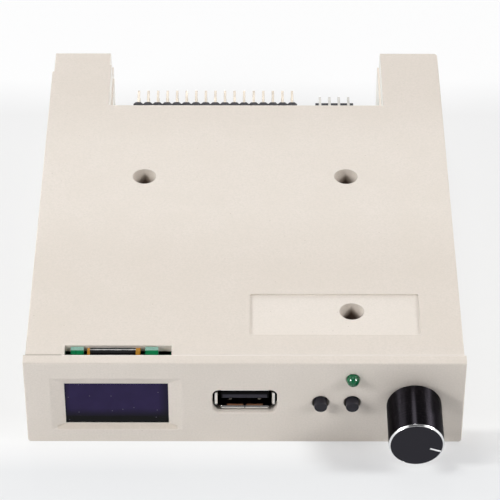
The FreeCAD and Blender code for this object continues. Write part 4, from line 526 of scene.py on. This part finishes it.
def flex_film():
    """Black coated film with a painted highlight along its crest, whose bare edges show the amber
    base.
    """
    finish = Finish("flex_film", (6, 6, 6), 0.26, Specular_IOR_Level=0.06)
    tone = finish.color_of(finish.noise(1.5, detail=3), (0.3, (4, 4, 4)), (0.7, (9, 8, 8)))
    # Painted highlight along the crest of the fold, broken up by noise
    crest_highlight = finish.between("Y", *FLEX_CREST_Y, 0.04)
    highlight_breaks = finish.spread(finish.noise(1.2, detail=2), 0.3, 0.6, 0.5, 1)
    highlighted = finish.mixed(finish.product(crest_highlight, highlight_breaks), tone, (232, 230, 228))
    coated = finish.between("X", *FLEX_COAT_X, 0.04)
    amber = finish.color_of(finish.noise(0.8), (0.3, (160, 112, 34)), (0.7, (182, 130, 48)))
    finish.paint(finish.mixed(coated, amber, highlighted))
    finish.polish(finish.spread(finish.noise(0.4), 0.3, 0.7, 0.2, 0.36))
    finish.bump(finish.noise(1.1, detail=2), 0.006, normal=finish.soft_edges(0.05))
    return finish.material


def foam_tape():
    """White foam with open pores."""
    finish = Finish("foam_tape", (216, 216, 212), 0.9)
    pores = finish.cells(0.25)["Distance"]
    finish.paint(finish.color_of(pores, (0.0, (190, 190, 184)), (0.5, (220, 220, 216))))
    finish.polish(finish.spread(pores, 0, 0.6, 0.95, 0.8))
    finish.bump(pores, 0.05)
    return finish.material


def ceramic():
    """Dark glazed chips."""
    finish = Finish("ceramic", (52, 48, 44), 0.5)
    tone = finish.noise(0.3)
    finish.paint(finish.color_of(tone, (0.3, (36, 33, 30)), (0.7, (70, 64, 58))))
    finish.polish(finish.spread(tone, 0.3, 0.7, 0.35, 0.6))
    finish.bump(tone, 0.004, normal=finish.soft_edges(0.05))
    return finish.material


def green_lens():
    """Diffusing green resin that lets a little light through."""
    finish = Finish("green_lens", (1, 104, 66), 0.08,
                    Transmission_Weight=0.1, Specular_IOR_Level=0.5)
    tone = finish.noise(0.9, detail=2)
    finish.paint(finish.color_of(tone, (0.3, (0, 91, 53)), (0.7, (0, 105, 65))))
    finish.polish(finish.spread(finish.noise(0.3), 0.3, 0.7, 0.06, 0.1))
    finish.bump(tone, 0.0005)
    return finish.material


def pointer_paint():
    """White paint laid in the knob's groove."""
    finish = Finish("pointer_paint", (250, 250, 251), 0.45)
    tone = finish.noise(0.3)
    finish.paint(finish.color_of(tone, (0.3, (244, 244, 245)), (0.7, (253, 253, 254))))
    finish.polish(finish.spread(tone, 0.3, 0.7, 0.4, 0.6))
    finish.bump(tone, 0.01)
    return finish.material


def anodised(name, low_color, high_color, roughness, anisotropy, ring_place):
    """Satin black metal with fine turned rings; ring_place gives the value they follow."""
    finish = Finish(name, low_color, roughness, metallic=1.0, Anisotropic=anisotropy,
                    Anisotropic_Rotation=0.25, Specular_Tint=(0.5, 0.5, 0.5, 1))
    tangent = finish.add("ShaderNodeTangent", direction_type="RADIAL", axis="Y")
    finish.link(tangent.outputs["Tangent"], finish.shader.inputs["Tangent"])
    rings = finish.noise(0.12, detail=2, place=finish.as_place(ring_place(finish)))
    finish.paint(finish.color_of(rings, (0.3, low_color), (0.7, high_color)))
    finish.polish(finish.spread(rings, 0.3, 0.7, roughness - 0.03, roughness + 0.03))
    finish.bump(rings, 0.0015)
    return finish.material


def put_on(name, *materials):
    """Gives a node's mesh these materials and no others."""
    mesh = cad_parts[name].data
    mesh.materials.clear()
    for material in materials:
        mesh.materials.append(material)
    return mesh


def dress_knob():
    """The knob's side keeps its streaks of light, and its end faces are duller."""
    side = anodised("knob_side", (34, 32, 36), (40, 38, 42), 0.28, 1.0,
                    lambda finish: finish.axis("Y"))
    face = anodised("knob_face", (49, 48, 53), (54, 53, 58), 0.48, 0.2,
                    lambda finish: finish.from_axis("XZ", (KNOB_X, KNOB_Z)))
    for polygon in put_on("knob_body", side, face).polygons:
        polygon.material_index = int(abs(polygon.normal.y) > KNOB_FACE_LEVEL)


def dress():
    """Every node gets its finish."""
    finishes = {
        case_plastic(): ("front_bezel", "top_cover", "bottom_tray"),
        black_plastic("black_plastic", (24, 24, 26), 0.45): (
            "jumper_caps", "usb_foot", "switch_left_housing", "switch_right_housing",
            "encoder_base", "encoder_rotor"),
        black_plastic("header_plastic", (30, 29, 36), 0.5, 0.3): (
            "drive_header_body", "power_header_body", "jumper_header_body", "program_header_body"),
        black_plastic("chip_plastic", (30, 30, 31), 0.6): ("processor_chip", "voltage_regulator"),
        black_plastic("button_plastic", (33, 31, 38), 0.42, 0.2): ("button_left", "button_right"),
        plated_metal("tin_pin", (199, 197, 192), 0.35, metallic=0.4): (
            "power_header_pins", "processor_leads", "display_pins", "led_leads",
            "encoder_terminals", "encoder_link_pins"),
        plated_metal("pale_gold", (205, 195, 181), 0.35, metallic=0.4): (
            "drive_header_pins", "jumper_header_pins", "program_header_pins", "usb_contacts"),
        plated_metal("screw_steel", (176, 176, 178), 0.32): (
            "case_screws", "encoder_washer", "encoder_nut"),
        plated_metal("bright_metal", (214, 214, 212), 0.25): (
            "switch_left_cover", "switch_right_cover", "crystal", "capacitors",
            "switch_domes", "encoder_dome"),
        plated_metal("zinc_casting", (186, 186, 188), 0.4): ("encoder_bushing",),
        plated_metal("brass_part", (214, 190, 120), 0.3): ("encoder_shaft",),
        plated_metal("ring_metal", (250, 250, 252), 0.12): ("knob_ring",),
        pointer_paint(): ("knob_pointer",),
        socket_metal(): ("usb_shell",),
        socket_plastic(): ("usb_insulator",),
        board_green("board_green", "Z"): ("main_board",),
        board_green("upright_board_green", "Y"): ("display_board", "encoder_board"),
        display_face(): ("display_glass",),
        flex_film(): ("display_flex",),
        foam_tape(): ("display_tape",),
        ceramic(): ("chip_resistors",),
        green_lens(): ("led_lens",),
    }
    for material, names in finishes.items():
        for name in names:
            put_on(name, material)
    dress_knob()
    dressed = {name for names in finishes.values() for name in names} | {"knob_body"}
    undressed = sorted(set(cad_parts) - dressed)
    if undressed:
        raise ValueError(f"no finish for {undressed}")


def add_floor():
    """A pale floor just under the part. What the camera and reflections see of it is lifted towards
    white, less so in the shadow before the part, and it keeps the part's shadow."""
    mesh = bpy.data.meshes.new("floor")
    corners = [
        (x * FLOOR_HALF, y * FLOOR_HALF, FLOOR_HEIGHT)
        for x, y in ((-1, -1), (1, -1), (1, 1), (-1, 1))
    ]
    mesh.from_pydata(corners, [], [(0, 1, 2, 3)])
    floor = bpy.data.objects.new("floor", mesh)
    bpy.context.scene.collection.objects.link(floor)
    finish = Finish("floor", FLOOR_COLOR, 0.6, Specular_IOR_Level=0.2)
    mesh.materials.append(finish.material)
    rays = finish.add("ShaderNodeLightPath").outputs
    seen = finish.combine("MAXIMUM", rays["Is Camera Ray"], rays["Is Glossy Ray"])
    seen = finish.combine("MAXIMUM", seen, rays["Is Transmission Ray"])
    wide_shadow = finish.product(finish.between("Y", *SHADOW_Y), finish.rise("X", *SHADOW_START))
    beside_knob = finish.combine("MAXIMUM", *(finish.between("X", *span) for span in KNOB_SHADOW_X))
    knob_shadow = finish.product(finish.between("Y", *KNOB_SHADOW_Y), beside_knob)
    shadow = finish.combine("MAXIMUM", wide_shadow, knob_shadow)
    lift = finish.spread(shadow, 0, 1, OPEN_LIFT, SHADOW_LIFT)
    white = finish.add("ShaderNodeEmission")
    # The paler tones just before the part's front are a painted pool of light
    tones = finish.color_of(finish.rise("Y", *FLOOR_TONE_SPAN), *FLOOR_TONES)
    finish.link(tones, white.inputs["Color"])
    mix = finish.add("ShaderNodeMixShader")
    finish.link(finish.product(seen, lift), mix.inputs[0])
    finish.link(finish.shader.outputs["BSDF"], mix.inputs[1])
    finish.link(white.outputs["Emission"], mix.inputs[2])
    finish.link(mix.outputs["Shader"], finish.nodes["Material Output"].inputs["Surface"])


def add_lamp(name, place, size, power, in_reflections=True, in_diffuse=True):
    """A rectangular lamp that faces the part and lights it, shows in reflections, or both."""
    data = bpy.data.lights.new(name, "AREA")
    data.shape = "RECTANGLE"
    data.size, data.size_y = size
    data.energy = power
    lamp = bpy.data.objects.new(name, data)
    lamp.location = place
    direction = Vector(LAMP_AIM) - Vector(place)
    lamp.rotation_euler = direction.to_track_quat("-Z", "Y").to_euler()
    lamp.visible_glossy = in_reflections
    lamp.visible_diffuse = in_diffuse
    bpy.context.scene.collection.objects.link(lamp)


def add_light():
    """Soft boxes on the left and the right with bright cores, two strips overhead, and low fill."""
    add_lamp("box_left", (-0.837, -0.422, 0.551), (0.42, 0.42), 6.75)
    add_lamp("box_right", (0.850, -0.334, 0.596), (0.36, 0.36), 4.95)
    add_lamp("core_left", (-0.820, -0.413, 0.540), (0.14, 0.14), 8.0, in_diffuse=False)
    add_lamp("core_right", (0.833, -0.327, 0.584), (0.14, 0.14), 12.0, in_diffuse=False)
    add_lamp("strip_rear", (-0.133, 0.584, 0.941), (0.1, 0.6), 1.85, in_reflections=False)
    add_lamp("strip_top", (-0.132, 0.080, 1.092), (0.1, 0.6), 1.35, in_reflections=False)
    add_lamp("fill_left", (-0.83, -0.80, 0.25), (0.6, 0.6), 0.2)
    add_lamp("fill_front", (0.0, -1.144, 0.25), (0.6, 0.6), 0.15)
    add_surround()


def add_surround():
    """A dim room, whose reflections also show the pale panels around the part."""
    world = bpy.data.worlds.new("world")
    world.use_nodes = True
    bpy.context.scene.world = world
    surround = Shading(world.node_tree)
    parts = surround.add("ShaderNodeSeparateXYZ")
    surround.link(surround.add("ShaderNodeTexCoord").outputs["Generated"], parts.inputs["Vector"])
    strength = ROOM_GLOSS
    for x_span, y_span, panel_strength in PANELS:
        across = surround.inside(parts.outputs["X"], *x_span, PANEL_BLUR_X)
        ahead = surround.inside(parts.outputs["Y"], *y_span, PANEL_BLUR_Y)
        panel = surround.product(across, ahead, panel_strength)
        strength = surround.combine("ADD", strength, panel)
    backdrop = surround.product(
        surround.inside(parts.outputs["Y"], *BACKDROP_Y, BACKDROP_BLUR),
        surround.inside(parts.outputs["Z"], *BACKDROP_Z, BACKDROP_BLUR),
        BACKDROP_STRENGTH,
    )
    diffuse = surround.combine("MAXIMUM", backdrop, ROOM_STRENGTH)
    glossy = surround.add("ShaderNodeLightPath").outputs["Is Glossy Ray"]
    other = surround.product(diffuse, surround.opposite(glossy))
    seen = surround.combine("ADD", surround.product(glossy, strength), other)
    background = surround.nodes["Background"]
    background.inputs["Color"].default_value = (1, 1, 1, 1)
    surround.link(seen, background.inputs["Strength"])


def add_camera():
    """The photograph's camera, from its place and its yaw, pitch and roll."""
    forward = Vector((
        math.sin(CAMERA_YAW) * math.cos(CAMERA_PITCH),
        math.cos(CAMERA_YAW) * math.cos(CAMERA_PITCH),
        -math.sin(CAMERA_PITCH),
    ))
    level = Vector((math.cos(CAMERA_YAW), -math.sin(CAMERA_YAW), 0))
    upright = level.cross(forward)
    right = math.cos(CAMERA_ROLL) * level + math.sin(CAMERA_ROLL) * upright
    up = -math.sin(CAMERA_ROLL) * level + math.cos(CAMERA_ROLL) * upright
    data = bpy.data.cameras.new("camera")
    data.sensor_width = SENSOR_WIDTH
    data.lens = FOCAL_PIXELS / FRAME_PIXELS * SENSOR_WIDTH
    data.clip_start = 0.01
    camera = bpy.data.objects.new("camera", data)
    turn = Matrix((right, up, -forward)).transposed()
    camera.matrix_world = Matrix.Translation(CAMERA_PLACE) @ turn.to_4x4()
    bpy.context.scene.collection.objects.link(camera)
    bpy.context.scene.camera = camera


dress()
add_floor()
add_light()
add_camera()
bpy.context.scene.view_settings.view_transform = "Standard"
